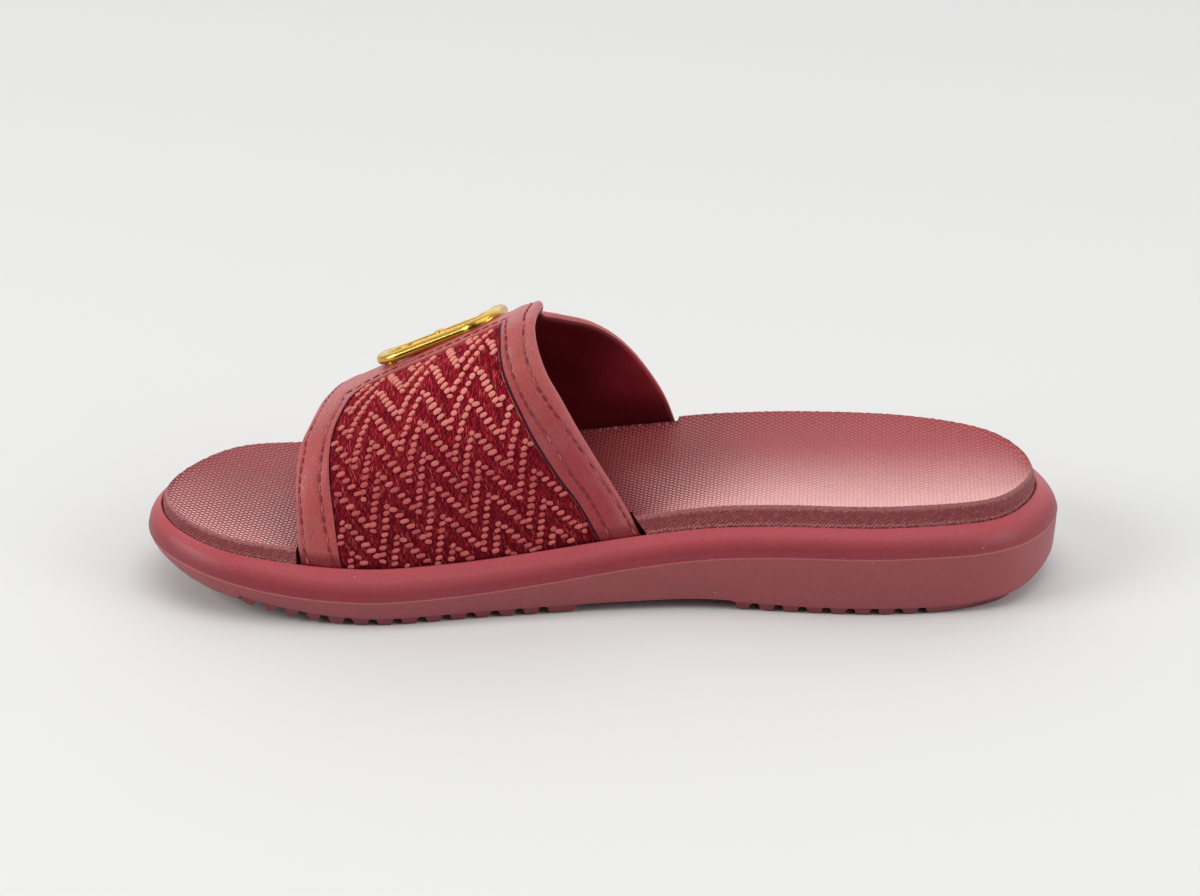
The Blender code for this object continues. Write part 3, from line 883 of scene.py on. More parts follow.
@dataclass(frozen=True)
class FootbedFinish(Finish):
    """Footbed foam: staggered pads on top, slanting strokes and pale fringes on the step."""

    top: Colour = (0.970, 0.375, 0.378)
    # Painted sheen: the deck is made paler towards the heel.
    heel_top: Colour = (0.980, 0.500, 0.490)
    # Painted shade: the far side of the deck is made deeper.
    far_side_shade: Colour = (0.490, 0.082, 0.090)
    # Painted shadow of the strap on the deck.
    shaded: Colour = (0.185, 0.003, 0.010)
    # Painted shade in the hollows between the pads.
    hollow: Colour = (0.140, 0.010, 0.018)
    step: Colour = (0.262, 0.033, 0.043)
    fringe: Colour = (0.600, 0.200, 0.200)
    # Painted shade in the strap's notch.
    shade: Colour = (0.050, 0.004, 0.008)
    pitch: float = 0.00178
    column: float = 0.00116
    tilt: float = 0.070
    chart_shift: float = 0.05
    wander: float = 0.35
    stroke_width: float = 0.00095
    stroke_length: float = 0.0030
    stroke_slant: float = -0.95
    pad_depth: float = 0.00048
    grain_depth: float = 0.00008
    specular: float = 0.42

    def covered(self, w: Wires, x: Value, y: Value) -> Value:
        """How much painted shadow of the strap a place gets, behind it and before it at the toe."""
        behind = 1.0 - w.range(x + y * 0.30, -0.003, 0.015)
        under = w.range(x, -0.052, -0.040)
        before = (1.0 - under) * w.range(x, -0.096, -0.070)
        return behind * under + before * 0.70

    def top_colour(self, w: Wires, x: Value, y: Value, hollow: Value) -> Value:
        """Colour of the pads: painted shade in hollows, painted sheen palest at the heel, painted
        shade on the far side.
        """
        # Painted sheen towards the heel, painted shade on the far side.
        face = w.blend(w.range(x, 0.012, 0.050), self.top, self.heel_top)
        face = w.blend(w.range(y, -0.034, 0.016), face, self.far_side_shade)
        far, heel = w.range(y, -0.020, 0.030) * 0.40, w.range(x, 0.010, 0.055) * 0.72
        # Painted shade in the hollows, weaker on the far side and at the heel.
        return w.blend(hollow * (1.0 - w.math("MAXIMUM", far, heel)), face, self.hollow)

    def side_colour(self, w: Wires, x: Value, wrap: Value, strokes: dict[str, Value]) -> Value:
        """Colour of the step: slanting strokes, rougher at the heel, between ragged fringes."""
        ragged = (w.noise(wrap, 1250.0, 3.0, 0.8) - 0.5) * 2.6
        edge = w.range(w.mask("fringe") + ragged, 0.42, 0.72)
        rough = w.range(w.noise(wrap, 750.0, 4.0, 0.8), 0.42, 0.70)
        heel = w.range(x, -0.005, 0.035)
        stroke = strokes["Height"] * (strokes["Tone"] * 0.55 + 0.25) * (0.60 - heel * 0.40)
        pale = w.math("MAXIMUM", stroke + rough * heel * 0.38, edge * 0.85)
        return w.blend(pale, self.step, self.fringe)

    def wire(self, w: Wires, effects: SharedEffects) -> dict[str, object]:
        """Top and step by the masks of the mesh, each with its own relief."""
        place, wrap, step = w.place(), w.chart("wrap"), w.mask("step")
        x, y, _ = w.split(place)
        u, v, _ = w.split(w.chart("chart"))
        chart = w.join(v + u * self.tilt, u + self.chart_shift - v * self.tilt)
        pads = w.use(
            effects.pads, Chart=chart, Pitch=self.pitch, Row=self.column, Wander=self.wander
        )
        size = {"Width": self.stroke_width, "Length": self.stroke_length}
        strokes = w.use(effects.strands, Chart=wrap, Slant=self.stroke_slant, **size)
        covered = self.covered(w, x, y)
        # Painted shadow of the strap, darkest beside it.
        top = w.blend(covered * 0.78, self.top_colour(w, x, y, pads["Hollow"]), self.shaded)
        colour = w.blend(step, top, self.side_colour(w, x, wrap, strokes))
        # Painted shade in the notch, by the notch mask.
        colour = w.blend(w.mask("notch") * 0.8, colour, self.shade)
        heights = {0: step, 2: pads["Height"], 3: strokes["Height"]}
        relief = w.bump(w.value("ShaderNodeMix", heights, data_type="FLOAT"), self.pad_depth)
        fine = w.noise(place, 1600.0, 3.0, 0.6)
        return {
            "Base Color": w.scaled(colour, effects.tone(w, 45.0, 0.12)),
            "Normal": w.bump(fine, self.grain_depth, 0.6, under=relief),
            "Roughness": (fine * 0.2 + covered * 0.40 + 0.44).clamped(),
            "Specular IOR Level": self.specular,
        }


@dataclass(frozen=True)
class LeatherFinish(Finish):
    """Smooth satin leather: lighter on its folded edges, darker in its stitch channels."""

    face: Colour = (0.368, 0.035, 0.042)
    # Painted light: the upper parts and the front band are made paler.
    upper: Colour = (0.500, 0.090, 0.089)
    bloom: Colour = (0.330, 0.095, 0.094)
    fold: Colour = (0.520, 0.118, 0.120)
    channel: Colour = (0.200, 0.016, 0.024)
    # Painted shade: the foot of the strap, by the sole, is made darker.
    foot: Colour = (0.230, 0.014, 0.022)
    # Share of the painted light on the front band.
    front_light_share: float = 0.65
    grain_scale: float = 1350.0
    grain_depth: float = 0.00006
    wrinkle_depth: float = 0.00009
    specular: float = 0.42

    def wire(self, w: Wires, effects: SharedEffects) -> dict[str, object]:
        """Painted light up high and on the front band, tones and painted foot shade by masks, grain
        over soft wrinkles.
        """
        place = w.place()
        x, _, z = w.split(place)
        # Painted light on the front band and higher up the strap.
        front = self.front_light_share - w.range(x, -0.064, -0.046) * self.front_light_share
        raised = w.math("MAXIMUM", front, w.range(z, 0.048, 0.074))
        patch = w.range(w.noise(place, 75.0, 3.0, 0.6), 0.46, 0.66)
        colour = w.blend(raised, self.face, self.upper)
        colour = w.blend(patch * 0.45, colour, self.bloom)
        colour = w.blend(w.mask("fold") * 0.60, colour, self.fold)
        colour = w.blend(w.mask("channel") * 0.32, colour, self.channel)
        # Painted shade at the foot of the strap.
        colour = w.blend(w.mask("foot"), colour, self.foot)
        grain = w.use(effects.grain, Vector=place, Scale=self.grain_scale, Break=0.5)
        tone = effects.tone(w, 70.0, 0.15) * (1.06 - grain["Hollow"] * 0.24)
        wrinkle = w.noise(w.vector("MULTIPLY", place, (1.0, 1.0, 3.0)), 420.0, 3.0, 0.6)
        soft = w.bump(wrinkle, self.wrinkle_depth, 0.5)
        return {
            "Base Color": w.scaled(colour, tone),
            "Normal": w.bump(grain["Height"], self.grain_depth, 0.7, under=soft),
            "Roughness": grain["Hollow"] * 0.20 + 0.31,
            "Specular IOR Level": self.specular,
        }


@dataclass(frozen=True)
class LiningFinish(Finish):
    """Dark smooth lining with faint drag wrinkles."""

    face: Colour = (0.105, 0.002, 0.006)
    # Painted light: the lining is made paler low down at the rear.
    wear_and_light: Colour = (0.270, 0.016, 0.028)
    grain_scale: float = 1400.0
    grain_depth: float = 0.00003
    drag_depth: float = 0.00016
    specular: float = 0.25

    def wire(self, w: Wires, effects: SharedEffects) -> dict[str, object]:
        """Dark face with a painted pool of light low down at the rear."""
        place = w.place()
        x, _, z = w.split(place)
        drag = w.noise(w.vector("MULTIPLY", place, (3.0, 1.0, 1.0)), 150.0, 4.0, 0.6)
        low = w.range(z, 0.030, 0.040) * (1.0 - w.range(z, 0.046, 0.060))
        # Painted light, broken up by the drag wrinkles.
        wear_and_light = w.range(x, -0.010, 0.009) * low * w.range(drag, -0.5, 0.8)
        grain = w.use(effects.grain, Vector=place, Scale=self.grain_scale, Break=0.5)
        soft = w.bump(drag, self.drag_depth, 0.5)
        colour = w.blend(wear_and_light, self.face, self.wear_and_light)
        return {
            "Base Color": w.scaled(colour, effects.tone(w, 50.0, 0.16)),
            "Normal": w.bump(grain["Height"], self.grain_depth, 0.5, under=soft),
            "Roughness": drag * 0.12 + 0.52,
            "Specular IOR Level": self.specular,
        }


@dataclass(frozen=True)
class TwillFinish(Finish):
    """Ground of the woven panels: fine slanting strands in dark and mid crimson."""

    dark: Colour = (0.170, 0.004, 0.011)
    mid: Colour = (0.330, 0.010, 0.024)
    light: Colour = (0.500, 0.080, 0.078)
    width: float = 0.00062
    length: float = 0.0023
    slant: float = 0.30
    depth: float = 0.00035
    fuzz_depth: float = 0.00010
    roughness: float = 0.85
    specular: float = 0.1

    def wire(self, w: Wires, effects: SharedEffects) -> dict[str, object]:
        """Strands in three tones with dark gaps and a fuzzy face."""
        size = {"Width": self.width, "Length": self.length, "Slant": self.slant}
        strands = w.use(effects.strands, Chart=w.chart("chart"), **size)
        colour = w.blend(w.range(strands["Tone"], 0.15, 0.6), self.dark, self.mid)
        colour = w.blend(w.range(strands["Tone"], 0.74, 0.98), colour, self.light)
        colour = w.blend(w.range(strands["Height"], 0.0, 0.55), self.dark, colour)
        fuzz = w.noise(w.place(), 2600.0, 3.0, 0.7)
        relief = w.bump(strands["Height"], self.depth)
        return {
            "Base Color": w.scaled(colour, effects.tone(w, 120.0, 0.25)),
            "Normal": w.bump(fuzz, self.fuzz_depth, 0.6, under=relief),
            "Roughness": self.roughness,
            "Specular IOR Level": self.specular,
        }


@dataclass(frozen=True)
class YarnFinish(Finish):
    """Soft salmon yarn of the raised floats, each one in its own tone."""

    pale: Colour = (0.600, 0.145, 0.138)
    deep: Colour = (0.390, 0.052, 0.056)
    # Painted light from above: paler yarn high on the strap.
    upper: Colour = (0.900, 0.340, 0.275)
    fibre_scale: float = 2400.0
    fibre_depth: float = 0.00016
    roughness: float = 0.8
    specular: float = 0.2

    def wire(self, w: Wires, effects: SharedEffects) -> dict[str, object]:
        """Tone of each float broken up by fibres, and painted light making it paler higher up the
        strap.
        """
        place = w.place()
        fibre = w.noise(place, self.fibre_scale, 3.0, 0.7)
        mix = (w.mask("tone") + (fibre - 0.5) * 0.6).clamped()
        # Painted light: paler higher up the strap.
        raised = w.range(w.split(place)[2], 0.040, 0.068) * 0.75
        colour = w.blend(raised, w.blend(mix, self.deep, self.pale), self.upper)
        return {
            "Base Color": w.scaled(colour, effects.tone(w, 90.0, 0.14)),
            "Normal": w.bump(fibre, self.fibre_depth, 0.8),
            "Roughness": self.roughness,
            "Specular IOR Level": self.specular,
        }


@dataclass(frozen=True)
class StrandFinish(Finish):
    """Fine ground strands of the woven panels: mostly dark crimson, a few of them lighter."""

    dark: Colour = (0.190, 0.005, 0.014)
    mid: Colour = (0.335, 0.012, 0.026)
    light: Colour = (0.480, 0.062, 0.062)
    fuzz_depth: float = 0.00008
    roughness: float = 0.82
    specular: float = 0.12

    def wire(self, w: Wires, effects: SharedEffects) -> dict[str, object]:
        """Tone of each strand, with painted light making it lighter higher up the strap."""
        place, tone = w.place(), w.mask("tone")
        colour = w.blend(w.range(tone, 0.2, 0.65), self.dark, self.mid)
        colour = w.blend(w.range(tone, 0.78, 1.0), colour, self.light)
        # Painted light: lighter higher up the strap.
        raised = w.range(w.split(place)[2], 0.024, 0.066) * 0.48 + 0.80
        return {
            "Base Color": w.scaled(colour, effects.tone(w, 130.0, 0.22) * raised),
            "Normal": w.bump(w.noise(place, 3000.0, 2.0, 0.6), self.fuzz_depth, 0.7),
            "Roughness": self.roughness,
            "Specular IOR Level": self.specular,
        }


@dataclass(frozen=True)
class ThreadFinish(Finish):
    """Dark red sewing thread, a few stitches of it glinting."""

    thread: Colour = (0.235, 0.010, 0.019)
    glint: Colour = (0.540, 0.120, 0.112)
    depth: float = 0.0001
    roughness: float = 0.6

    def wire(self, w: Wires, effects: SharedEffects) -> dict[str, object]:
        """Tone of each stitch over a faint fibre relief."""
        colour = w.blend(w.range(w.mask("tone"), 0.55, 1.0), self.thread, self.glint)
        return {
            "Base Color": w.scaled(colour, effects.tone(w, 400.0, 0.3)),
            "Normal": w.bump(w.noise(w.place(), 3000.0), self.depth, 0.6),
            "Roughness": self.roughness,
        }


@dataclass(frozen=True)
class EdgePaintFinish(Finish):
    """Dark edge paint on the cut edge of the leather."""

    paint: Colour = (0.050, 0.006, 0.016)
    depth: float = 0.0001
    roughness: float = 0.62
    specular: float = 0.15

    def wire(self, w: Wires, effects: SharedEffects) -> dict[str, object]:
        """One dark tone, slightly uneven."""
        return {
            "Base Color": w.scaled(self.paint, effects.tone(w, 300.0, 0.4)),
            "Normal": w.bump(w.noise(w.place(), 900.0), self.depth, 0.4),
            "Roughness": self.roughness,
            "Specular IOR Level": self.specular,
        }


@dataclass(frozen=True)
class GiltFinish(Finish):
    """Polished gilt metal with faint handling marks."""

    bright: Colour = (0.640, 0.395, 0.076)
    wear_and_light: Colour = (0.520, 0.300, 0.045)
    gloss: tuple[float, float] = (0.20, 0.27)
    hair_depth: float = 0.000005

    def wire(self, w: Wires, effects: SharedEffects) -> dict[str, object]:
        """Clouds of wear in colour and gloss, and hair lines along the bars."""
        place = w.place()
        cloud = w.noise(place, 260.0, 3.0, 0.6)
        wear_and_light = w.range(cloud, 0.45, 0.8, (0.0, 0.5))
        hair = w.noise(w.vector("MULTIPLY", place, (1.0, 6.0, 1.0)), 900.0, 3.0, 0.6)
        return {
            "Base Color": w.blend(wear_and_light, self.bright, self.wear_and_light),
            "Normal": w.bump(hair, self.hair_depth, 0.35),
            "Roughness": w.range(cloud, 0.3, 0.8, self.gloss),
            "Metallic": 1.0,
        }


@dataclass(frozen=True)
class FloorFinish(Finish):
    """Plain pale studio floor."""

    face: Colour = (0.756, 0.757, 0.753)
    roughness: float = 0.9
    specular: float = 0.1

    def wire(self, w: Wires, effects: SharedEffects) -> dict[str, object]:
        """One pale tone, hardly uneven."""
        return {
            "Base Color": w.scaled(self.face, effects.tone(w, 2.0, 0.006)),
            "Roughness": self.roughness,
            "Specular IOR Level": self.specular,
        }


class Finishes:
    """All the finishes of the shoe, built once."""

    def __init__(self) -> None:
        """Build the shared effects and every material."""
        effects = SharedEffects()
        self.foam = FoamFinish("sole_moulded_foam").build(effects)
        self.footbed = FootbedFinish("footbed_padded_foam").build(effects)
        self.leather = LeatherFinish("strap_satin_leather").build(effects)
        self.lining = LiningFinish("strap_dark_lining").build(effects)
        self.twill = TwillFinish("panel_twill_ground").build(effects)
        self.yarn = YarnFinish("panel_raised_yarn").build(effects)
        self.strand = StrandFinish("panel_ground_strand").build(effects)
        self.thread = ThreadFinish("strap_thread").build(effects)
        self.paint = EdgePaintFinish("leather_edge_paint").build(effects)
        self.gilt = GiltFinish("ring_gilt").build(effects)
        self.floor = FloorFinish("studio_floor").build(effects)


@dataclass(frozen=True)
class StrapForm:
    """The strap on its last: its edges, its leather bands and its two woven windows."""

    form: ShoeForm
    wall: float = 0.0030
    edge_rows: Rows = (
        (0.0, 17.5, 54.2), (10.0, 17.2, 51.7), (20.0, 17.1, 49.3), (30.0, 17.0, 47.2),
        (40.0, 16.9, 45.5), (50.0, 16.9, 44.0), (60.0, 17.0, 43.1), (70.0, 17.3, 42.6),
        (80.0, 17.9, 42.4), (90.0, 18.4, 42.5), (97.0, 18.9, 42.9), (103.0, 19.5, 43.2),
        (110.0, 20.1, 43.2), (117.0, 20.6, 42.9), (124.0, 21.0, 43.2), (132.0, 21.4, 45.4),
        (140.0, 21.8, 48.7), (150.0, 22.3, 52.1), (160.0, 22.8, 54.9), (170.0, 23.3, 57.3),
        (180.0, 23.8, 58.9),
    )
    band_columns: tuple[str, ...] = (
        "angle", "front_band", "rear_band",
        "front_outer", "front_inner", "rear_inner", "rear_outer",
    )
    band_rows: Rows = (
        (0.0, 11.6, 11.9, 2.6, 1.6, 3.5, 1.3),
        (10.0, 11.2, 11.6, 1.8, 2.5, 3.9, 1.4),
        (20.0, 10.7, 12.3, 1.7, 2.8, 4.1, 2.0),
        (30.0, 10.2, 12.2, 1.5, 2.8, 4.0, 2.5),
        (40.0, 9.8, 11.7, 1.4, 2.7, 2.9, 3.6),
        (50.0, 9.6, 10.9, 1.8, 2.3, 2.6, 3.8),
        (60.0, 9.6, 10.6, 2.2, 2.0, 2.5, 3.5),
        (70.0, 9.7, 10.0, 1.9, 2.0, 2.1, 3.1),
        (80.0, 9.7, 9.6, 1.9, 2.0, 2.0, 2.6),
        (90.0, 10.3, 9.7, 1.9, 2.0, 1.7, 2.7),
    )
    window_top_rows: Rows = ((50.0, 90.4), (57.0, 90.4), (65.0, 92.9), (85.0, 91.8), (100.0, 93.2))
    window_top: float = 92.5
    far_window_top: float = 132.0
    blend_low: float = 66.0
    blend_high: float = 116.0
    degree: float = 0.00092
    corner: float = 0.0032
    arc_low: float = 0.0340
    arc_high: float = 0.1620
    split: float = 112.0

    def __post_init__(self) -> None:
        """Read the tables once and measure the strap's surface."""
        keep = object.__setattr__
        keep(self, "edges", SectionTable(("angle", "front", "rear"), self.edge_rows))
        keep(self, "bands", SectionTable(self.band_columns, self.band_rows))
        keep(self, "tops", SectionTable(("along", "angle"), self.window_top_rows))
        keep(self, "arc_alongs", np.arange(self.arc_low, self.arc_high, MM))
        keep(self, "arc_angles", np.linspace(0.0, 180.0, 361))
        grid = self.form.strap_points(self.arc_angles[None, :], self.arc_alongs[:, None])
        steps = np.linalg.norm(np.diff(grid, axis=1), axis=-1)
        keep(self, "arcs", np.hstack([np.zeros((len(grid), 1)), np.cumsum(steps, axis=1)]))

    def front(self, angle: np.ndarray) -> np.ndarray:
        """Front edge of the strap, in metres behind the toe tip."""
        return self.edges.at("front", angle) / 100.0 * self.form.length

    def rear(self, angle: np.ndarray) -> np.ndarray:
        """Rear edge of the strap, in metres behind the toe tip."""
        return self.edges.at("rear", angle) / 100.0 * self.form.length

    def band(self, column: str, angle: np.ndarray) -> np.ndarray:
        """A width of the leather frame; both halves of the strap have the same ones."""
        return self.bands.at(column, np.minimum(angle, 180.0 - angle)) * MM

    def below_top(self, angle: np.ndarray) -> np.ndarray:
        """Distance below a window's top edge, on the half that the angle is on."""
        middle = (self.window_top + self.far_window_top) / 2.0
        near = self.window_top - angle
        far = angle - self.far_window_top
        return np.where(angle < middle, near, far) * self.degree

    def window_front(self, angle: np.ndarray) -> np.ndarray:
        """Front edge of the window, with its rounded upper corner."""
        close = np.clip(self.corner - self.below_top(angle), 0.0, self.corner)
        rounding = self.corner - np.sqrt(self.corner**2 - close**2)
        return self.front(angle) + self.band("front_band", angle) + rounding

    def window_rear(self, angle: np.ndarray) -> np.ndarray:
        """Rear edge of the window."""
        return self.rear(angle) - self.band("rear_band", angle)

    def lean(self, angle: np.ndarray, along: np.ndarray) -> np.ndarray:
        """How far the window's top edge leans from its middle angle, faded out away from it."""
        shift = self.tops.at("angle", along / MM) - self.window_top
        rising = (angle - self.blend_low) / (self.window_top - self.blend_low)
        falling = (self.blend_high - angle) / (self.blend_high - self.window_top)
        return shift * np.clip(np.minimum(rising, falling), 0.0, 1.0)

    def inside(self, angle: np.ndarray, along: np.ndarray) -> np.ndarray:
        """Distance in from the edge of the window, negative on the leather."""
        sides = np.minimum(along - self.window_front(angle), self.window_rear(angle) - along)
        return np.minimum(sides, self.below_top(angle))

    def arc(self, angle: np.ndarray, along: np.ndarray) -> np.ndarray:
        """Length over the strap from the medial base to an angle, at a distance behind the toe."""
        angle, along = np.broadcast_arrays(np.asarray(angle, float), np.asarray(along, float))
        row = np.clip((along - self.arc_low) / MM, 0.0, len(self.arc_alongs) - 1.001)
        column = np.clip(angle * 2.0, 0.0, len(self.arc_angles) - 1.001)
        i, j = row.astype(int), column.astype(int)
        u, v = row - i, column - j
        low = self.arcs[i, j] * (1.0 - v) + self.arcs[i, j + 1] * v
        high = self.arcs[i + 1, j] * (1.0 - v) + self.arcs[i + 1, j + 1] * v
        return low * (1.0 - u) + high * u

    def angle_at(self, arc: float, along: float) -> float:
        """The angle at a length over the strap."""
        row = min(max((along - self.arc_low) / MM, 0.0), len(self.arc_alongs) - 1.001)
        i = int(row)
        lengths = self.arcs[i] * (1.0 - row + i) + self.arcs[i + 1] * (row - i)
        return float(np.interp(arc, lengths, self.arc_angles))


@dataclass(frozen=True)
class MouldedSole:
    """Moulded foam sole: lugs on the tread, a rounded rim, the mould line and the pocket."""

    form: ShoeForm
    edge_columns: tuple[str, ...] = ("along", "base", "base_inset", "edge_inset", "round", "ledge")
    edge_rows: Rows = (
        (0.0, 0.9, 2.9, 4.4, 1.5, 0.0),
        (20.0, 0.9, 2.5, 3.9, 1.5, 0.0),
        (27.6, 0.9, 2.3, 3.7, 1.8, 0.0),
        (28.8, 2.4, 1.9, 3.0, 2.6, 0.30),
        (60.0, 2.4, 1.9, 3.0, 2.6, 0.30),
        (110.0, 2.4, 2.0, 3.1, 2.6, 0.30),
        (165.0, 2.4, 2.1, 3.2, 2.6, 0.30),
        (205.0, 2.4, 2.1, 3.2, 2.6, 0.30),
        (220.0, 2.4, 1.9, 3.4, 2.4, 0.2),
        (238.0, 3.8, 1.0, 5.2, 0.8, 0.10),
        (258.7, 5.2, 0.6, 7.0, 0.8, 0.20),
    )
    lug_levels: tuple[float, ...] = (0.0, 0.04, 0.12, 0.25, 0.45, 0.7, 1.0)
    wall_levels: tuple[float, ...] = (0.0, 0.07, 0.16, 0.28, 0.42, 0.56, 0.70, 0.82, 0.91)
    wall_fullness: float = 1.7
    rim_columns: tuple[str, ...] = ("step", "inset", "height")
    rim_rows: Rows = (
        (0.0, 0.0, 0.0), (1.0, 0.07, 0.25), (2.0, 0.22, 0.50), (3.0, 0.40, 0.69),
        (4.0, 0.54, 0.78), (5.0, 0.76, 0.90), (6.0, 0.91, 0.985), (7.0, 1.0, 0.95),
    )
    rim_cells: int = 30
    rim_start: float = 0.35
    mould_line: float = 0.00011
    mould_reach: float = 0.00030
    mould_steps: tuple[float, ...] = (-1.0, -0.4, 0.0, 0.4, 1.0)
    pocket_lip: float = 0.0012
    # First groove and pitch in mm, number of grooves, depth in mm.
    groove_rows: Rows = (
        (33.6, 6.10, 3, 2.20), (51.8, 6.74, 10, 2.30), (171.4, 6.66, 8, 2.30),
    )
    groove_top: float = 0.0008
    groove_foot: float = 0.0018
    first_lug: float = 0.0281
    toe_lift: float = 0.0009
    lift_start: float = 0.015
    lift_end: float = 0.026
    waist_start: float = 0.1213
    waist_end: float = 0.1661
    waist_rows: Rows = ((0.0, 2.1), (0.04, 2.7), (0.4, 3.2), (0.8, 3.6), (0.96, 3.4), (1.0, 2.8))
    tread_columns: int = 10

    def edge(self, column: str, along: np.ndarray) -> np.ndarray:
        """A size of the tread's edge in metres."""
        return SectionTable(self.edge_columns, self.edge_rows).at(column, along / MM) * MM

    def waist(self, along: np.ndarray) -> np.ndarray:
        """Height of the raised waist, zero outside it."""
        part = (along - self.waist_start) / (self.waist_end - self.waist_start)
        top = SectionTable(("part", "rise"), self.waist_rows).at("rise", part) * MM
        return np.where((part >= 0.0) & (part <= 1.0), top, 0.0)

    def underside(self, along: np.ndarray) -> np.ndarray:
        """Height of the tread with its cross grooves, its waist and its plain toe wedge."""
        lift = smooth_step(self.lift_start, self.lift_end, along)
        rise = self.toe_lift * lift * (along < self.first_lug)
        for first, pitch, count, depth in self.groove_rows:
            near = (along / MM - first) / pitch
            offset = np.abs(near - np.clip(np.round(near), 0, count - 1)) * pitch * MM
            cut = 1.0 - smooth_step(self.groove_top, self.groove_foot, offset)
            rise = np.maximum(rise, depth * MM * cut)
        return np.maximum(self.form.height("tread", along) + rise, self.waist(along))

    def base(self, along: np.ndarray) -> np.ndarray:
        """Height of the ledge that the lugs hang from."""
        ledge = self.form.height("tread", along) + self.edge("base", along)
        return np.maximum(ledge, self.waist(along))

    def rings(self) -> tuple[list[np.ndarray], list[tuple[float, float, float]]]:
        """All levels of the wall from the tread up over the rim and down into the pocket.

        Returns:
            The rings and, for each of them, how much it is rim, tread and mould line.
        """
        form = self.form
        outline = form.outline[:, 0]
        base_inset, edge_inset = self.edge("base_inset", outline), self.edge("edge_inset", outline)
        ledge = self.edge("ledge", outline)
        curl = self.edge("round", outline) / MM
        rings, marks = [], []

        def add(inset: np.ndarray, height: Callable, mark: tuple[float, float, float]) -> None:
            """Keep one ring and its marks."""
            rings.append(form.ring(inset, height))
            marks.append(mark)

        for part in self.lug_levels:
            inner = base_inset + ledge
            inset = inner + (edge_inset - inner) * (1.0 - part) ** curl

            def lug(along: np.ndarray, part: float = part) -> np.ndarray:
                """Height of a level of the lugs."""
                tread = form.height("tread", along)
                level = tread + part * (self.base(along) - tread)
                return np.maximum(level, np.minimum(self.underside(along), self.base(along)))

            # The tread mark also carries the painted shade of the lugs.
            add(inset, lug, (0.0, 1.0, 0.0))
        for part in self.wall_levels:
            def wall(along: np.ndarray, part: float = part) -> np.ndarray:
                """Height of a level of the lower wall."""
                low = self.base(along)
                return low + part * (form.height("parting", along) - low)

            add(base_inset * (1.0 - part) ** self.wall_fullness, wall, (0.0, 0.0, 0.0))
        for step in self.mould_steps:
            on_line = float(abs(step) < 0.5)

            def seam(along: np.ndarray, step: float = step) -> np.ndarray:
                """Height of a level at the mould line."""
                return form.height("parting", along) + step * self.mould_reach

            mark = (0.5 * float(step > 0.0), 0.0, on_line)
            add(-self.mould_line * on_line, seam, mark)
        profile = SectionTable(self.rim_columns, self.rim_rows)
        pocket = form.outline_inset("rim_inset")
        for step in np.linspace(self.rim_start, self.rim_rows[-1][0], self.rim_cells):
            part = float(profile.at("height", step))

            def rim(along: np.ndarray, part: float = part) -> np.ndarray:
                """Height of a level of the rim."""
                low = form.height("parting", along)
                return low + part * (form.height("rim", along) - low)

            inset = pocket * float(profile.at("inset", step))
            add(inset, rim, (0.5 + 0.5 * part, 0.0, 0.0))
        add(pocket, lambda a: form.height("rim", a) - self.pocket_lip, (1.0, 0.0, 0.0))
        add(pocket, lambda a: form.height("rim", a) - form.pocket_depth, (1.0, 0.0, 0.0))
        return rings, marks

    def build(self, finishes: Finishes) -> None:
        """Make the sole and fix it in place of the plain one."""
        names = ("rim", "tread", "seam")
        desk = MeshDesk(floats=names)
        rings, marks = self.rings()
        points = np.stack(rings)
        shape = points.shape[:2]
        masks = {
            name: np.broadcast_to(np.array([mark[k] for mark in marks])[:, None], shape)
            for k, name in enumerate(names)
        }
        desk.lay(points, masks)
        outline = self.form.outline[:, 0]
        tread = self.form.deck(
            self.edge("edge_inset", outline),
            self.tread_columns,
            lambda a, v: self.underside(a) + 0.0 * v,
        )
        flat = {"rim": np.zeros(tread.shape[:2]), "tread": np.ones(tread.shape[:2])}
        desk.lay(tread, flat)
        floor = self.form.deck(
            self.form.outline_inset("rim_inset"),
            1,
            lambda a, v: self.form.height("rim", a) - self.form.pocket_depth + 0.0 * v,
        )
        desk.lay(floor, {"rim": np.ones(floor.shape[:2])})
        seat(desk.close("moulded_sole", [finishes.foam], sharp=24.0), Slot.SOLE, "sole")


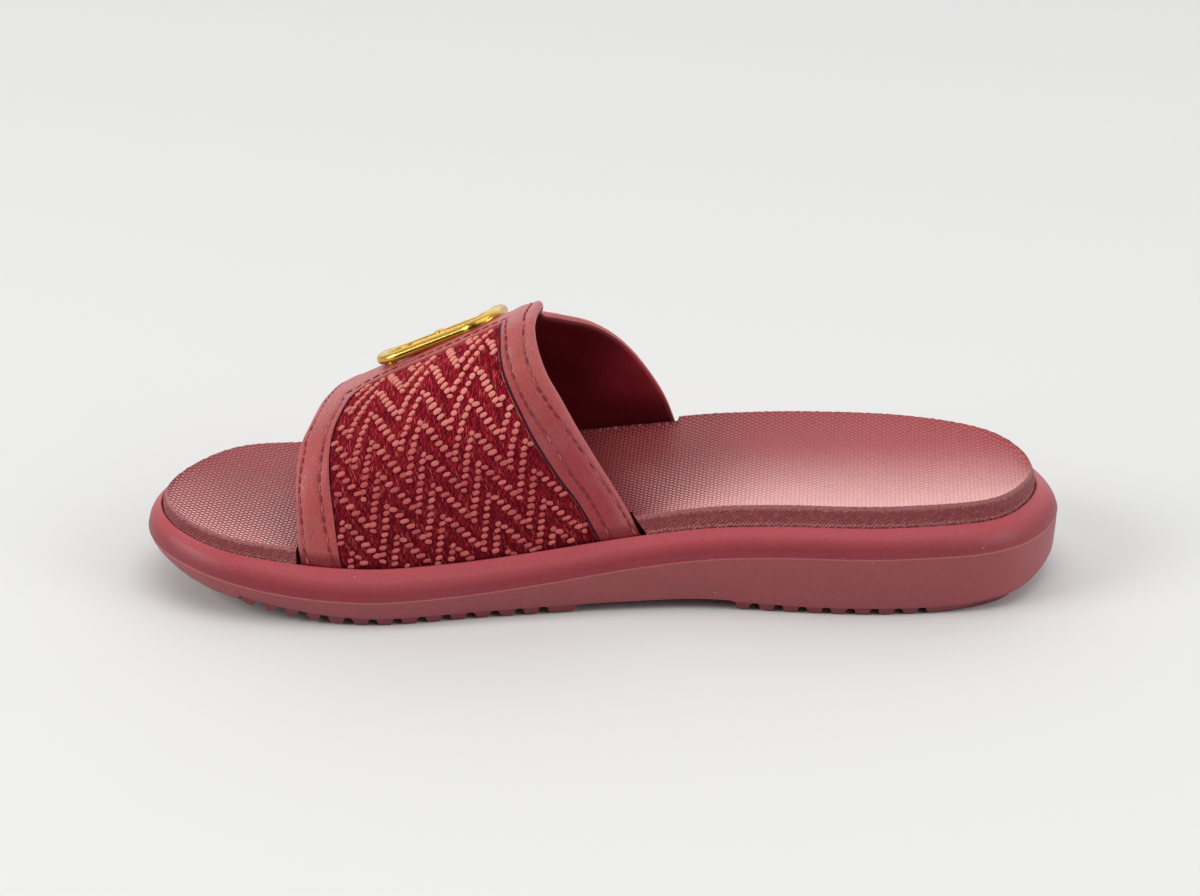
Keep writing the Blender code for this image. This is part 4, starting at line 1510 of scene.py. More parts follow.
@dataclass(frozen=True)
class Footbed:
    """Footbed foam: a coarse step round its edge, a dished padded top and the strap's notches."""

    form: ShoeForm
    strap: StrapForm
    clearance: float = 0.0008
    slot_low: float = 0.0036
    slot_high: float = 0.0049
    step_levels: tuple[float, ...] = (
        0.0, 0.06, 0.14, 0.25, 0.38, 0.52, 0.66, 0.78, 0.88, 0.95, 1.0
    )
    step_fullness: float = 2.4
    dish_power: int = 4
    columns: int = 64
    slant_angle: float = 5.5
    slant_reach: float = 0.0060
    turn_along: float = 0.1700
    bow: float = 1.6
    ripple: float = 0.00005
    wave_rows: Rows = ((2100.0, 0.0), (3370.0, 1.3))
    fringe_reach: float = 0.30
    fringe_start: float = 0.62
    crowding: float = 0.16
    chart_shift: float = 0.2

    def top_height(self, along: np.ndarray) -> np.ndarray:
        """Height of the footbed's upper edge."""
        return self.form.height("rim", along) + self.form.height("step", along)

    def notched(self, along: np.ndarray, angle: float) -> np.ndarray:
        """Whether places on one side of the footbed are in the strap's notch."""
        low = self.strap.front(angle) - self.clearance
        high = self.strap.rear(angle) + self.clearance
        return (along > low) & (along < high)

    def cuts(self, distance: np.ndarray) -> list[np.ndarray]:
        """Which points of each half of a ring are in the strap's notch."""
        halves = zip(self.form.halves(distance), (0.0, 180.0))
        return [self.notched(half[:, 0], angle) for half, angle in halves]

    def slanted(self, along: np.ndarray, angle: float, part: float) -> np.ndarray:
        """Places moved forward near the notch's rear end, by more the higher they lie."""
        end = self.strap.rear(angle)
        shift = end - self.strap.rear(abs(angle - self.slant_angle))
        return along - part * shift * np.exp(-(((along - end) / self.slant_reach) ** 2))

    def trimmed(self, distance: np.ndarray, slot: float) -> tuple[np.ndarray, np.ndarray]:
        """Both halves of a ring, stepped in where the strap goes down.

        Args:
            distance: Inset for each point of the outline.
            slot: Inset of the notch from the pocket's wall.

        Returns:
            The medial and the lateral half as rows of along and side.
        """
        halves = self.form.halves(distance)
        notch = self.form.inset_curve(self.form.outline_inset("rim_inset") + slot)
        part = (slot - self.slot_low) / (self.slot_high - self.slot_low)
        for half, side, angle, cut in zip(halves, Side, (0.0, 180.0), self.cuts(distance)):
            half[:, 0] = along = self.slanted(half[:, 0], angle, part)
            inner = self.form.side_at(notch, along, side)
            deeper = np.maximum if side is Side.MEDIAL else np.minimum
            half[:, 1] = np.where(cut, deeper(half[:, 1], inner), half[:, 1])
        return halves

    def dished(self, along: np.ndarray, side: np.ndarray) -> np.ndarray:
        """Height of the top at a place: highest along the edge, lowest along the middle."""
        inset = self.form.outline_inset("rim_inset") + self.form.outline_inset("step_inset")
        top = self.form.inset_curve(inset)
        medial = self.form.side_at(top, along, Side.MEDIAL)
        lateral = self.form.side_at(top, along, Side.LATERAL)
        across = np.clip((side - medial) / np.maximum(lateral - medial, 1e-6), 0.0, 1.0)
        bowl = (1.0 - (2.0 * across - 1.0) ** self.dish_power) * self.form.height("dish", along)
        return self.top_height(along) - bowl

    def pad_chart(self, points: np.ndarray) -> np.ndarray:
        """Chart of the top's rows: straight along the shoe, and bowed a little at the heel."""
        along = points[..., 0] + self.form.length / 2.0
        bow = np.clip(along - self.turn_along, 0.0, None) ** 2 * self.bow
        across = points[..., 1] + self.chart_shift + bow
        return np.stack([along, across, np.zeros_like(along)], axis=-1)

    def build(self, finishes: Finishes) -> None:
        """Make the footbed and fix it in place of the plain one."""
        form = self.form
        base = form.outline_inset("rim_inset") + form.gap
        top = form.outline_inset("rim_inset") + form.outline_inset("step_inset")
        rings, fringe, plain, wraps = [], [], [], []

        def add(distance: np.ndarray, slot: float, height: Callable, edge: float) -> None:
            """Keep one ring with its share of fringe and its chart."""
            medial, lateral = self.trimmed(distance, slot)
            flat = np.vstack([medial, lateral[-2::-1]])
            level = height(flat[:, 0])
            near_cut, far_cut = self.cuts(distance)
            plain.append(1.0 - np.concatenate([near_cut, far_cut[-2::-1]]))
            wave = sum(np.sin(flat[:, 0] * rate + phase) for rate, phase in self.wave_rows)
            level = level + wave * self.ripple * edge * (level > form.height("rim", flat[:, 0]))
            rings.append(form.placed(flat[:, 0], flat[:, 1], level))
            fringe.append(edge * plain[-1])
            run = run_along(flat)
            wraps.append(np.stack([run, level, np.zeros_like(run)], axis=-1))

        add(base, self.slot_low, form.pocket_floor, 1.0)
        for part in self.step_levels:
            slot = self.slot_low + (self.slot_high - self.slot_low) * part
            inset = base + (top - base) * part**self.step_fullness
            edge = max(self.fringe_reach - part, part - self.fringe_start) / self.fringe_reach

            def rise(along: np.ndarray, part: float = part) -> np.ndarray:
                """Height of a level of the step."""
                return form.height("rim", along) + part * form.height("step", along)

            add(inset, slot, rise, min(max(edge, 0.0), 1.0))
        # The notch mask carries the painted shade of the notch.
        desk = MeshDesk(floats=("step", "fringe", "notch"), vectors=("chart", "wrap"))
        points = np.stack(rings)
        masks = {
            "step": np.ones(points.shape[:2]),
            "fringe": np.stack(fringe),
            "notch": 1.0 - np.stack(plain),
        }
        desk.lay(points, masks, {"chart": self.pad_chart(points), "wrap": np.stack(wraps)})
        medial, lateral = self.trimmed(top, self.slot_high)
        across = np.linspace(0.0, 1.0, self.columns + 1)
        crowded = across - self.crowding * np.sin(2.0 * math.pi * across) / math.pi
        across = crowded[None, :, None]
        flat = medial[:, None, :] * (1.0 - across) + lateral[:, None, :] * across
        deck = form.placed(flat[..., 0], flat[..., 1], self.dished(flat[..., 0], flat[..., 1]))
        deck[:, 0, 2] = rings[-1][: len(medial), 2]
        deck[:, -1, 2] = rings[-1][len(medial) - 1 :, 2][::-1]
        margin = np.zeros(deck.shape[:2])
        margin[:, 0], margin[:, -1] = (1.0 - cut for cut in self.cuts(top))
        wrap = np.zeros(deck.shape)
        wrap[:, : self.columns // 2] = wraps[-1][: len(medial), None]
        wrap[:, self.columns // 2 :] = wraps[-1][len(medial) - 1 :][::-1][:, None]
        charts = {"chart": self.pad_chart(deck), "wrap": wrap}
        desk.lay(deck, {"step": margin, "fringe": margin}, charts)
        medial, lateral = self.trimmed(base, self.slot_low)
        flat = np.stack([medial, lateral], axis=1)
        desk.lay(form.placed(flat[..., 0], flat[..., 1], form.pocket_floor(flat[..., 0])))
        seat(desk.close("footbed_foam", [finishes.footbed], sharp=60.0), Slot.FOOTBED, "footbed")


@dataclass(frozen=True)
class StrapShell:
    """The strap as one shell: leather frame, woven grounds in their windows, folds and lining."""

    form: ShoeForm
    strap: StrapForm
    fold_reach: float = 0.0011
    fold_cells: int = 8
    band_cells: int = 26
    window_cells: int = 26
    inner_cells: int = 22
    lips: tuple[float, ...] = (-0.45, -0.30, -0.16, -0.06, 0.0, 0.06, 0.20)
    recess: float = 0.0008
    lip_reach: float = 0.00055
    lip_drop: float = 0.00032
    trough: float = 0.00024
    trough_reach: float = 0.00042
    crease_gain: float = 1.8
    swell: float = 0.00026
    paint_rear: float = 0.00080
    piping: float = 0.00034
    paint_front: float = 0.00010
    lining_row: int = 4
    top_offsets: tuple[float, ...] = (-0.45, -0.20, -0.06, 0.0, 0.06, 0.16, 0.30, 0.45, 0.70)
    column_gap: float = 0.35
    top_clear: tuple[float, float] = (0.5, 0.8)
    recess_edge: tuple[float, float] = (-0.00004, 0.00005)
    paint_edge: float = 0.00003
    paint_top: float = 0.0003
    fold_glow: tuple[float, float] = (0.0004, 0.0030)
    # Reach of the painted shade at the foot of the strap.
    foot_band: tuple[float, float] = (0.0035, 0.0065)
    slack_fade: float = 0.08
    # Angle in degrees; along, half length, half width and depth in mm; slant in degrees.
    crease_rows: Rows = (
        (45.0, 112.2, 3.4, 0.55, 0.10, 10.0), (47.2, 111.8, 3.6, 0.50, 0.12, 14.0),
        (49.4, 111.4, 3.2, 0.50, 0.09, 18.0), (42.0, 112.9, 2.6, 0.70, 0.08, 6.0),
        (60.0, 104.5, 3.0, 1.40, 0.10, 20.0), (30.0, 118.0, 3.5, 1.60, 0.10, 5.0),
        (24.0, 49.5, 3.8, 1.80, 0.09, 0.0), (52.0, 48.5, 3.4, 1.60, 0.08, -8.0),
        (74.0, 101.5, 2.8, 1.20, 0.08, 25.0), (14.0, 126.0, 3.0, 1.40, 0.08, 0.0),
        (104.0, 60.0, 6.0, 2.50, 0.12, 40.0), (124.0, 62.0, 6.0, 2.50, 0.10, -40.0),
        (150.0, 128.0, 3.6, 1.40, 0.10, -12.0), (158.0, 66.0, 3.6, 1.50, 0.08, 6.0),
    )
    slack_rows: Rows = (
        (40.0, 70.0, 26.0, 9.0, 0.25, 30.0), (120.0, 90.0, 30.0, 8.0, 0.30, -20.0),
        (150.0, 105.0, 22.0, 4.0, 0.55, 55.0), (162.0, 95.0, 18.0, 4.0, 0.45, 50.0),
        (140.0, 118.0, 14.0, 3.0, 0.45, 62.0), (156.0, 116.0, 12.0, 2.2, 0.40, 48.0),
    )

    def column_angles(self) -> np.ndarray:
        """Angles of the columns: one for each degree, and close together at the windows' tops."""
        strap = self.strap
        fine = np.array(self.top_offsets) * MM / strap.degree
        tops = np.concatenate([strap.window_top + fine, strap.far_window_top - fine])
        even = np.arange(0.0, 181.0)
        clear = np.min(np.abs(even[:, None] - tops[None, :]), axis=1) > self.column_gap
        below, above = self.top_clear
        middle = (even > strap.window_top - below) & (even < strap.window_top + above)
        far = (even > strap.far_window_top - above) & (even < strap.far_window_top + below)
        return np.sort(np.concatenate([even[clear & ~middle & ~far], tops]))

    def face_rows(self, angle: np.ndarray) -> np.ndarray:
        """Distances behind the toe of the outer face's rows, for each column."""
        strap = self.strap
        start, end = strap.front(angle) + self.fold_reach, strap.rear(angle) - self.fold_reach
        low, high = strap.window_front(angle), strap.window_rear(angle)
        lips = np.array(self.lips)[:, None] * MM
        last = lips[-1]

        def spread(first: np.ndarray, final: np.ndarray, cells: int) -> np.ndarray:
            """Even rows from one line up to, but not on, the next."""
            part = np.arange(cells)[:, None] / cells
            return first + (final - first) * part

        return np.vstack([
            spread(start, low + lips[0], self.band_cells),
            low + lips,
            spread(low + last * 2.0, high - last * 1.5, self.window_cells),
            high - lips[::-1],
            spread(end, high - lips[0], self.band_cells)[::-1],
        ])

    def relief(self, angle: np.ndarray, along: np.ndarray) -> np.ndarray:
        """Height of the outer face above its plain surface: window, lips, troughs and creases."""
        strap = self.strap
        inside = strap.inside(angle, along)
        drop = self.recess * smooth_step(*self.recess_edge, inside)
        lip = np.clip((inside + self.lip_reach) / self.lip_reach, 0.0, 1.0)
        drop = np.maximum(drop, np.where(inside < 0.0, lip**2 * self.lip_drop, 0.0))
        drop = drop + self.trough * self.stitch_channel(angle, along)
        drop = drop + self.crease_gain * self.soft_folds(self.crease_rows, angle, along)
        return self.swell * self.padding(angle, along) - drop

    def padding(self, angle: np.ndarray, along: np.ndarray) -> np.ndarray:
        """How padded a place between the two stitch lines of a band is, from 0 to 1."""
        padded = np.zeros(np.broadcast(angle, along).shape)
        for first, second in (("front_outer", "front_inner"), ("rear_inner", "rear_outer")):
            low = StitchLine(first, 180.0).at(self.strap, angle)
            high = StitchLine(second, 180.0).at(self.strap, angle)
            part = np.clip((along - low) / (high - low), 0.0, 1.0)
            padded = np.maximum(padded, 4.0 * part * (1.0 - part))
        return padded

    def stitch_channel(self, angle: np.ndarray, along: np.ndarray) -> np.ndarray:
        """How near a place is to a stitch line, from 0 to 1."""
        near = np.zeros(np.broadcast(angle, along).shape)
        for line in STITCH_LINES:
            away = line.away(self.strap, angle, along) / self.trough_reach
            near = np.maximum(near, np.exp(-(away**2)))
        return near

    def soft_folds(self, rows: Rows, angle: np.ndarray, along: np.ndarray) -> np.ndarray:
        """Depth of the soft folds of a table, each a trough with faded ends."""
        depth = np.zeros(np.broadcast(angle, along).shape)
        arc = self.strap.arc(angle, along)
        for at_angle, at_along, length, width, deep, slant in rows:
            centre = float(self.strap.arc(at_angle, at_along * MM))
            turn = math.radians(slant)
            first, second = along - at_along * MM, arc - centre
            u = first * math.cos(turn) + second * math.sin(turn)
            v = second * math.cos(turn) - first * math.sin(turn)
            depth += deep * MM * np.exp(-((u / (length * MM)) ** 2) - (v / (width * MM)) ** 2)
        return depth

    def build(self, finishes: Finishes) -> None:
        """Make the shell and fix it in place of the plain strap."""
        strap, form = self.strap, self.form
        angle = self.column_angles()
        outer = self.face_rows(angle)
        wide = np.broadcast_to(angle, outer.shape)
        true_angle = wide + strap.lean(wide, outer)
        points, back, _, out = form.strap_frame(true_angle, outer)
        face = points + out * self.relief(wide, outer)[..., None]

        depth = strap.wall / 2.0
        turns = np.linspace(math.pi / 2.0, -math.pi / 2.0, self.fold_cells + 1)[1:-1]

        def fold(row: int, toward: float) -> np.ndarray:
            """Rounded edge from the outer to the inner face, in rows."""
            centre = points[row] - out[row] * depth
            push = back[row] * toward * self.fold_reach
            return np.stack([
                centre + push * math.cos(turn) + out[row] * depth * math.sin(turn)
                for turn in turns
            ])

        part = np.linspace(1.0, 0.0, self.inner_cells + 1)[:, None]
        inner_along = outer[0] + (outer[-1] - outer[0]) * part
        wide_inner = np.broadcast_to(angle, inner_along.shape)
        inner_angle = wide_inner + strap.lean(wide_inner, inner_along)
        inner_points, _, _, inner_out = form.strap_frame(inner_angle, inner_along)
        fade = smooth_step(0.0, self.slack_fade, part)
        fade = fade * smooth_step(0.0, self.slack_fade, 1.0 - part)
        slack = self.soft_folds(self.slack_rows, wide_inner, inner_along) * fade
        inner = inner_points - inner_out * (strap.wall - slack)[..., None]

        rear, front = fold(-1, 1.0), fold(0, -1.0)[::-1]
        loop = np.concatenate([face, rear, inner, front, face[:1]])
        alongs = np.concatenate([
            outer, np.repeat(outer[-1:], len(rear), axis=0), inner_along,
            np.repeat(outer[:1], len(front), axis=0), outer[:1],
        ])
        counts = (len(face), len(rear), len(inner), len(front))
        columns = []
        for end in (0, -1):
            foot = loop[:, end : (end + 1 or None)].copy()
            foot[..., 2] = form.pocket_floor(alongs[:, end])[:, None]
            columns.append(foot)
        mesh = np.concatenate([columns[0], loop, columns[1]], axis=1)

        def padded(values: np.ndarray) -> np.ndarray:
            """Values of the loop with its end columns repeated."""
            return np.concatenate([values[:, :1], values, values[:, -1:]], axis=1)

        inside = strap.inside(wide, outer)
        spread = alongs.shape
        rows = np.arange(spread[0])
        on_fold = (rows >= counts[0] - 1) & (rows <= counts[0] + counts[1])
        on_fold |= rows >= counts[0] + counts[1] + counts[2] - 1
        edge = np.minimum(alongs - outer[:1], outer[-1:] - alongs)
        folded = np.where(on_fold[:, None], 1.0, 1.0 - smooth_step(*self.fold_glow, edge))
        channel = np.zeros(spread)
        channel[: counts[0]] = self.stitch_channel(wide, outer)
        arc = strap.arc(np.broadcast_to(angle, spread), alongs)
        total = strap.arc(np.full(spread, 180.0), alongs)
        base = np.minimum(arc, total - arc)
        mirrored = np.where(np.broadcast_to(angle, spread) < strap.split, arc, total - arc)
        chart = np.stack([alongs, mirrored, np.zeros(spread)], axis=-1)
        # Mask of the painted shade at the foot of the strap.
        foot = 1.0 - smooth_step(*self.foot_band, base)

        finish = np.full((mesh.shape[0] - 1, mesh.shape[1] - 1), int(Coat.LEATHER))
        cell = padded(inside)
        cell = (cell[:-1, :-1] + cell[1:, :-1] + cell[:-1, 1:] + cell[1:, 1:]) / 4.0
        across = padded(outer)
        middle = (across[:-1, :-1] + across[1:, 1:]) / 2.0
        behind = middle > (across[:1, :-1] + across[-1:, :-1]) / 2.0
        covered = cell >= self.paint_edge
        painted = (cell > -np.where(behind, self.paint_rear, self.paint_front)) & ~covered
        below = padded(np.broadcast_to(strap.below_top(angle), outer.shape))
        clear = below[:-1, :-1] > self.paint_top
        painted &= clear
        finish[: counts[0] - 1][painted] = Coat.PAINT
        finish[: counts[0] - 1][covered] = Coat.TWILL
        piped = covered & (cell < self.piping) & behind & clear
        finish[: counts[0] - 1][piped] = Coat.YARN
        lined = np.zeros(spread, dtype=bool)
        lined[counts[0] + self.lining_row : sum(counts[:3]) + counts[3] - self.lining_row] = True
        finish[padded(lined)[:-1, :-1] & padded(lined)[1:, 1:]] = Coat.LINING

        desk = MeshDesk(floats=("fold", "channel", "foot", "tone"), vectors=("chart",))
        wide_masks = {"fold": padded(folded), "channel": padded(channel), "foot": padded(foot)}
        wide_masks["tone"] = np.ones(wide_masks["foot"].shape)
        desk.lay(mesh, wide_masks, {"chart": padded(chart)}, finish)
        bmesh.ops.remove_doubles(desk.bm, verts=desk.bm.verts, dist=WELD)
        bmesh.ops.holes_fill(desk.bm, edges=[e for e in desk.bm.edges if e.is_boundary], sides=0)
        coats = [getattr(finishes, coat.name.lower()) for coat in Coat]
        seat(desk.close("lasted_strap", coats, sharp=55.0), Slot.STRAP, "upper")


@dataclass(frozen=True)
class StitchLine:
    """One line of stitches on the leather frame."""

    column: str
    end: float
    far: bool = False

    def at(self, strap: StrapForm, angle: np.ndarray) -> np.ndarray:
        """Distance behind the toe of the line at an angle."""
        if self.column == "front_outer":
            return strap.front(angle) + strap.band("front_outer", angle)
        if self.column == "front_inner":
            plain = strap.front(angle) + strap.band("front_band", angle)
            return plain - strap.band("front_inner", angle)
        if self.column == "rear_inner":
            return strap.window_rear(angle) + strap.band("rear_inner", angle)
        return strap.rear(angle) - strap.band("rear_outer", angle)

    def away(self, strap: StrapForm, angle: np.ndarray, along: np.ndarray) -> np.ndarray:
        """Distance of a place from the line, large past its end."""
        limit = (angle - self.end) if self.far else (self.end - angle)
        past = np.clip(-limit, 0.0, None) * strap.degree
        return np.hypot(along - self.at(strap, angle), past)


@dataclass(frozen=True)
class TopStitchLine:
    """The line of stitches that closes a frame along the top of its window."""

    angle: float

    def ends(self, strap: StrapForm) -> tuple[float, float]:
        """Where the line meets the frame's two inner lines."""
        front = StitchLine("front_inner", self.angle).at(strap, np.array(self.angle))
        rear = StitchLine("rear_inner", self.angle).at(strap, np.array(self.angle))
        return float(front), float(rear)

    def away(self, strap: StrapForm, angle: np.ndarray, along: np.ndarray) -> np.ndarray:
        """Distance of a place from the line."""
        front, rear = self.ends(strap)
        past = np.clip(np.maximum(front - along, along - rear), 0.0, None)
        return np.hypot((angle - self.angle) * strap.degree, past)


NEAR_TOP, FAR_TOP = 95.1, 129.4
STITCH_LINES = (
    StitchLine("front_outer", 180.0),
    StitchLine("rear_outer", 180.0),
    StitchLine("front_inner", NEAR_TOP),
    StitchLine("rear_inner", NEAR_TOP),
    StitchLine("front_inner", FAR_TOP, far=True),
    StitchLine("rear_inner", FAR_TOP, far=True),
    TopStitchLine(NEAR_TOP),
    TopStitchLine(FAR_TOP),
)


def scatter(
    name: str,
    segments: tuple[int, int],
    places: np.ndarray,
    tones: np.ndarray,
    finish: bpy.types.Material,
    fullness: float = 1.0,
) -> bpy.types.Object:
    """Copy one small rounded bead to many places.

    Args:
        name: Name of the piece.
        segments: Cells round the bead and from end to end.
        places: A 3 by 4 placing for each copy.
        tones: A number from 0 to 1 for each copy.
        finish: Its material.
        fullness: Power on the bead's round shape; below 1 its ends get blunter.

    Returns:
        The linked object.
    """
    bm = bmesh.new()
    tone = bm.verts.layers.float.new("tone")
    copy = bm.verts.layers.int.new("copy")
    corner = bm.verts.layers.int.new("corner")
    bmesh.ops.create_uvsphere(bm, u_segments=segments[0], v_segments=segments[1], radius=1.0)
    shape = np.array([(*vert.co, 1.0) for vert in bm.verts])
    shape = np.sign(shape) * np.abs(shape) ** fullness
    for number, vert in enumerate(bm.verts):
        vert[corner] = number
    made = 1
    while made < len(places):
        twins = bmesh.ops.duplicate(bm, geom=bm.verts[:] + bm.edges[:] + bm.faces[:])
        for item in twins["geom"]:
            if isinstance(item, bmesh.types.BMVert):
                item[copy] += made
        made *= 2
    extra = [vert for vert in bm.verts if vert[copy] >= len(places)]
    bmesh.ops.delete(bm, geom=extra, context="VERTS")
    moved = np.einsum("kij,nj->kni", places, shape).tolist()
    shades = tones.tolist()
    for vert in bm.verts:
        vert.co = moved[vert[copy]][vert[corner]]
        vert[tone] = shades[vert[copy]]
    for layer in (copy, corner):
        bm.verts.layers.int.remove(layer)
    bmesh.ops.recalc_face_normals(bm, faces=bm.faces)
    return finished(bm, name, [finish])


def bead_places(
    strap: StrapForm,
    angle: np.ndarray,
    along: np.ndarray,
    tilt: np.ndarray,
    sizes: np.ndarray,
    lift: float,
) -> np.ndarray:
    """Placings for beads that lie on the strap.

    Args:
        strap: The strap.
        angle: True angle of each bead over the foot.
        along: Distance of each behind the toe.
        tilt: Direction of each in degrees, from the heel direction towards over the foot.
        sizes: Length, width and height of each.
        lift: Height of their middles above the strap's plain face.

    Returns:
        A 3 by 4 placing for each.
    """
    points, back, over, out = strap.form.strap_frame(angle, along)
    turn = np.radians(tilt)[:, None]
    first = unit(back * np.cos(turn) + over * np.sin(turn))
    second = np.cross(out, first)
    half = [axis * sizes[:, k : k + 1] / 2.0 for k, axis in enumerate((first, second, out))]
    axes = np.stack(half, axis=-1)
    return np.concatenate([axes, (points + out * lift)[..., None]], axis=-1)


@dataclass(frozen=True)
class Stitching:
    """All the stitches of the leather frame."""

    strap: StrapForm
    pitch: float = 0.0029
    length: float = 0.0022
    width: float = 0.00048
    height: float = 0.00046
    lift: float = -0.00005
    start: float = 0.0030
    long_run: float = 0.08
    half_step: float = 0.0005
    seed: int = 11

    def run(self, line: StitchLine | TopStitchLine) -> tuple[np.ndarray, np.ndarray]:
        """Dense route of a line.

        Args:
            line: The line.

        Returns:
            Angles and distances behind the toe along it.
        """
        strap = self.strap
        if isinstance(line, TopStitchLine):
            front, rear = line.ends(strap)
            along = np.linspace(front, rear, 400)
            return np.full(400, line.angle), along
        low, high = (line.end, 180.0) if line.far else (0.0, line.end)
        angle = np.linspace(low, high, 900)
        return angle, line.at(strap, angle)

    def build(self, finishes: Finishes) -> None:
        """Lay the stitches in their channels."""
        strap = self.strap
        angles, alongs, tilts = [], [], []
        for line in STITCH_LINES:
            angle, along = self.run(line)
            true_angle = angle + strap.lean(angle, along)
            route = strap.form.strap_points(true_angle, along)
            run = run_along(route)
            start = self.start if run[-1] > self.long_run else self.pitch / 2.0
            middle = np.arange(start, run[-1] - self.length / 2.0, self.pitch)
            at_angle = np.interp(middle, run, true_angle)
            at_along = np.interp(middle, run, along)
            arc = strap.arc(true_angle, along)
            after, before = middle + self.half_step, middle - self.half_step
            rise = np.interp(after, run, arc) - np.interp(before, run, arc)
            go = np.interp(after, run, along) - np.interp(before, run, along)
            angles.append(at_angle)
            alongs.append(at_along)
            tilts.append(np.degrees(np.arctan2(rise, go)))
        angle, along, tilt = (np.concatenate(part) for part in (angles, alongs, tilts))
        rng = np.random.default_rng(self.seed)
        count = len(angle)
        tilt = tilt + rng.normal(0.0, 2.5, count)
        sizes = np.tile([self.length, self.width, self.height], (count, 1))
        sizes = sizes * rng.uniform(0.9, 1.08, (count, 1))
        places = bead_places(strap, angle, along, tilt, sizes, self.lift)
        tones = rng.uniform(0.0, 1.0, count)
        obj = scatter("frame_stitches", (8, 8), places, tones, finishes.thread, 0.85)
        seat(obj, Slot.STRAP)


@dataclass(frozen=True)
class WovenPanels:
    """Raised yarn and ground strands of the two woven windows, charted."""

    strap: StrapForm
    origin: tuple[float, float] = (90.9, 22.3)
    step_along: tuple[float, float] = (12.6, 4.9)
    step_over: tuple[float, float] = (-2.6, 9.0)
    # Along, over and length of each float in mm, tilt in degrees.
    float_rows: Rows = (
        (0.0, 0.2, 1.7, -20.0), (0.0, 2.2, 1.9, 12.0), (0.2, 4.2, 2.0, 14.0),
        (0.4, 6.2, 1.9, 14.0), (0.6, 8.2, 2.0, 15.0), (0.8, 10.2, 2.0, 16.0),
        (1.0, 12.2, 1.9, 16.0), (1.2, 14.2, 1.8, 20.0), (1.4, 16.2, 1.6, 40.0),
        (3.0, 15.2, 2.1, -14.0), (4.6, 13.5, 2.3, 4.0), (6.2, 11.8, 2.4, 6.0),
        (7.8, 10.1, 2.4, 6.0), (9.4, 8.4, 2.3, 8.0), (11.0, 6.7, 2.2, 8.0),
    )
    tilt_rows: Rows = ((0.0, 0.0), (30.0, 2.0), (50.0, 14.0), (65.0, 26.0), (75.0, 30.0))
    shear: float = 0.010
    shear_start: float = 30.0
    float_width: float = 0.00138
    float_height: float = 0.0011
    float_lift: float = -0.00052
    strand_pitch: float = 0.00052
    strand_step: float = 0.00190
    strand_size: tuple[float, float, float] = (0.0023, 0.00050, 0.00046)
    strand_lift: float = -0.00078
    strand_tilt: float = 106.0
    margin: float = 0.00025
    base_margin: float = 0.0015
    along_reach: tuple[float, float] = (0.045, 0.150)
    over_reach: float = 0.080
    repeats: int = 8
    jitter: float = 0.07
    seed: int = 23
    float_margin: float = 0.0006
    float_gain: float = 1.05
    float_turn: float = 4.0
    strand_start: float = 0.040
    strand_columns: tuple[int, int] = (-60, 280)
    strand_rows: tuple[int, int] = (-1, 44)
    strand_stagger: tuple[float, float] = (0.37, 0.15)
    strand_jitter: tuple[float, float] = (0.00004, 0.0002)
    strand_turn: float = 5.0

    def sheared(self, along: np.ndarray, over: np.ndarray) -> np.ndarray:
        """Distance behind the toe once the cloth has been pulled over the last."""
        return along + self.shear * np.clip(over - self.shear_start, 0.0, None) ** 2

    def placed(
        self, far: bool, along: np.ndarray, over: np.ndarray, margin: float
    ) -> tuple[np.ndarray, np.ndarray]:
        """Find which places of the chart fall in a window.

        Args:
            far: Whether it is the lateral window.
            along: Distances behind the toe in metres.
            over: Lengths up from the window's own base in metres.
            margin: Least distance in from the window's edge.

        Returns:
            The true angle of every place, and whether it is kept.
        """
        strap = self.strap
        total = strap.arc(np.full(len(along), 180.0), along)
        reach = np.where(far, total - over, over)
        angle = np.array([strap.angle_at(r, a) for r, a in zip(reach, along)])
        chart = angle - strap.lean(angle, along)
        inside = strap.inside(chart, along)
        right_half = (chart > strap.split) == far
        return angle, (inside > margin) & right_half & (over > self.base_margin)

    def floats(self, far: bool, rng: np.random.Generator) -> tuple[np.ndarray, np.ndarray]:
        """Placings and tones of the raised yarn in one window."""
        rows = []
        origin, step_along = np.array(self.origin), np.array(self.step_along)
        step_over = np.array(self.step_over)
        for k in range(-self.repeats, self.repeats + 1):
            for n in range(-self.repeats, self.repeats + 1):
                x, y = origin + n * step_along + k * step_over
                rows += [(x + u, y + v, size, tilt) for u, v, size, tilt in self.float_rows]
        chart = np.array(rows)
        chart[:, :2] += rng.normal(0.0, self.jitter, (len(chart), 2))
        along = self.sheared(chart[:, 0], chart[:, 1]) * MM
        over = chart[:, 1] * MM
        low, high = self.along_reach
        keep = (along > low) & (along < high) & (over > 0.0) & (over < self.over_reach)
        chart, along, over = chart[keep], along[keep], over[keep]
        angle, inside = self.placed(far, along, over, self.margin + self.float_margin)
        chart, along, over, angle = chart[inside], along[inside], over[inside], angle[inside]
        count = len(chart)
        extra = SectionTable(("over", "tilt"), self.tilt_rows).at("tilt", over / MM)
        tilt = chart[:, 3] + extra + rng.normal(0.0, self.float_turn, count)
        tilt = -tilt if far else tilt
        sizes = np.stack([
            chart[:, 2] * MM * rng.uniform(0.90, 1.14, count) * self.float_gain,
            self.float_width * rng.uniform(0.86, 1.14, count),
            self.float_height * rng.uniform(0.9, 1.1, count),
        ], axis=-1)
        places = bead_places(self.strap, angle, along, tilt, sizes, self.float_lift)
        return places, rng.uniform(0.25, 1.0, count)

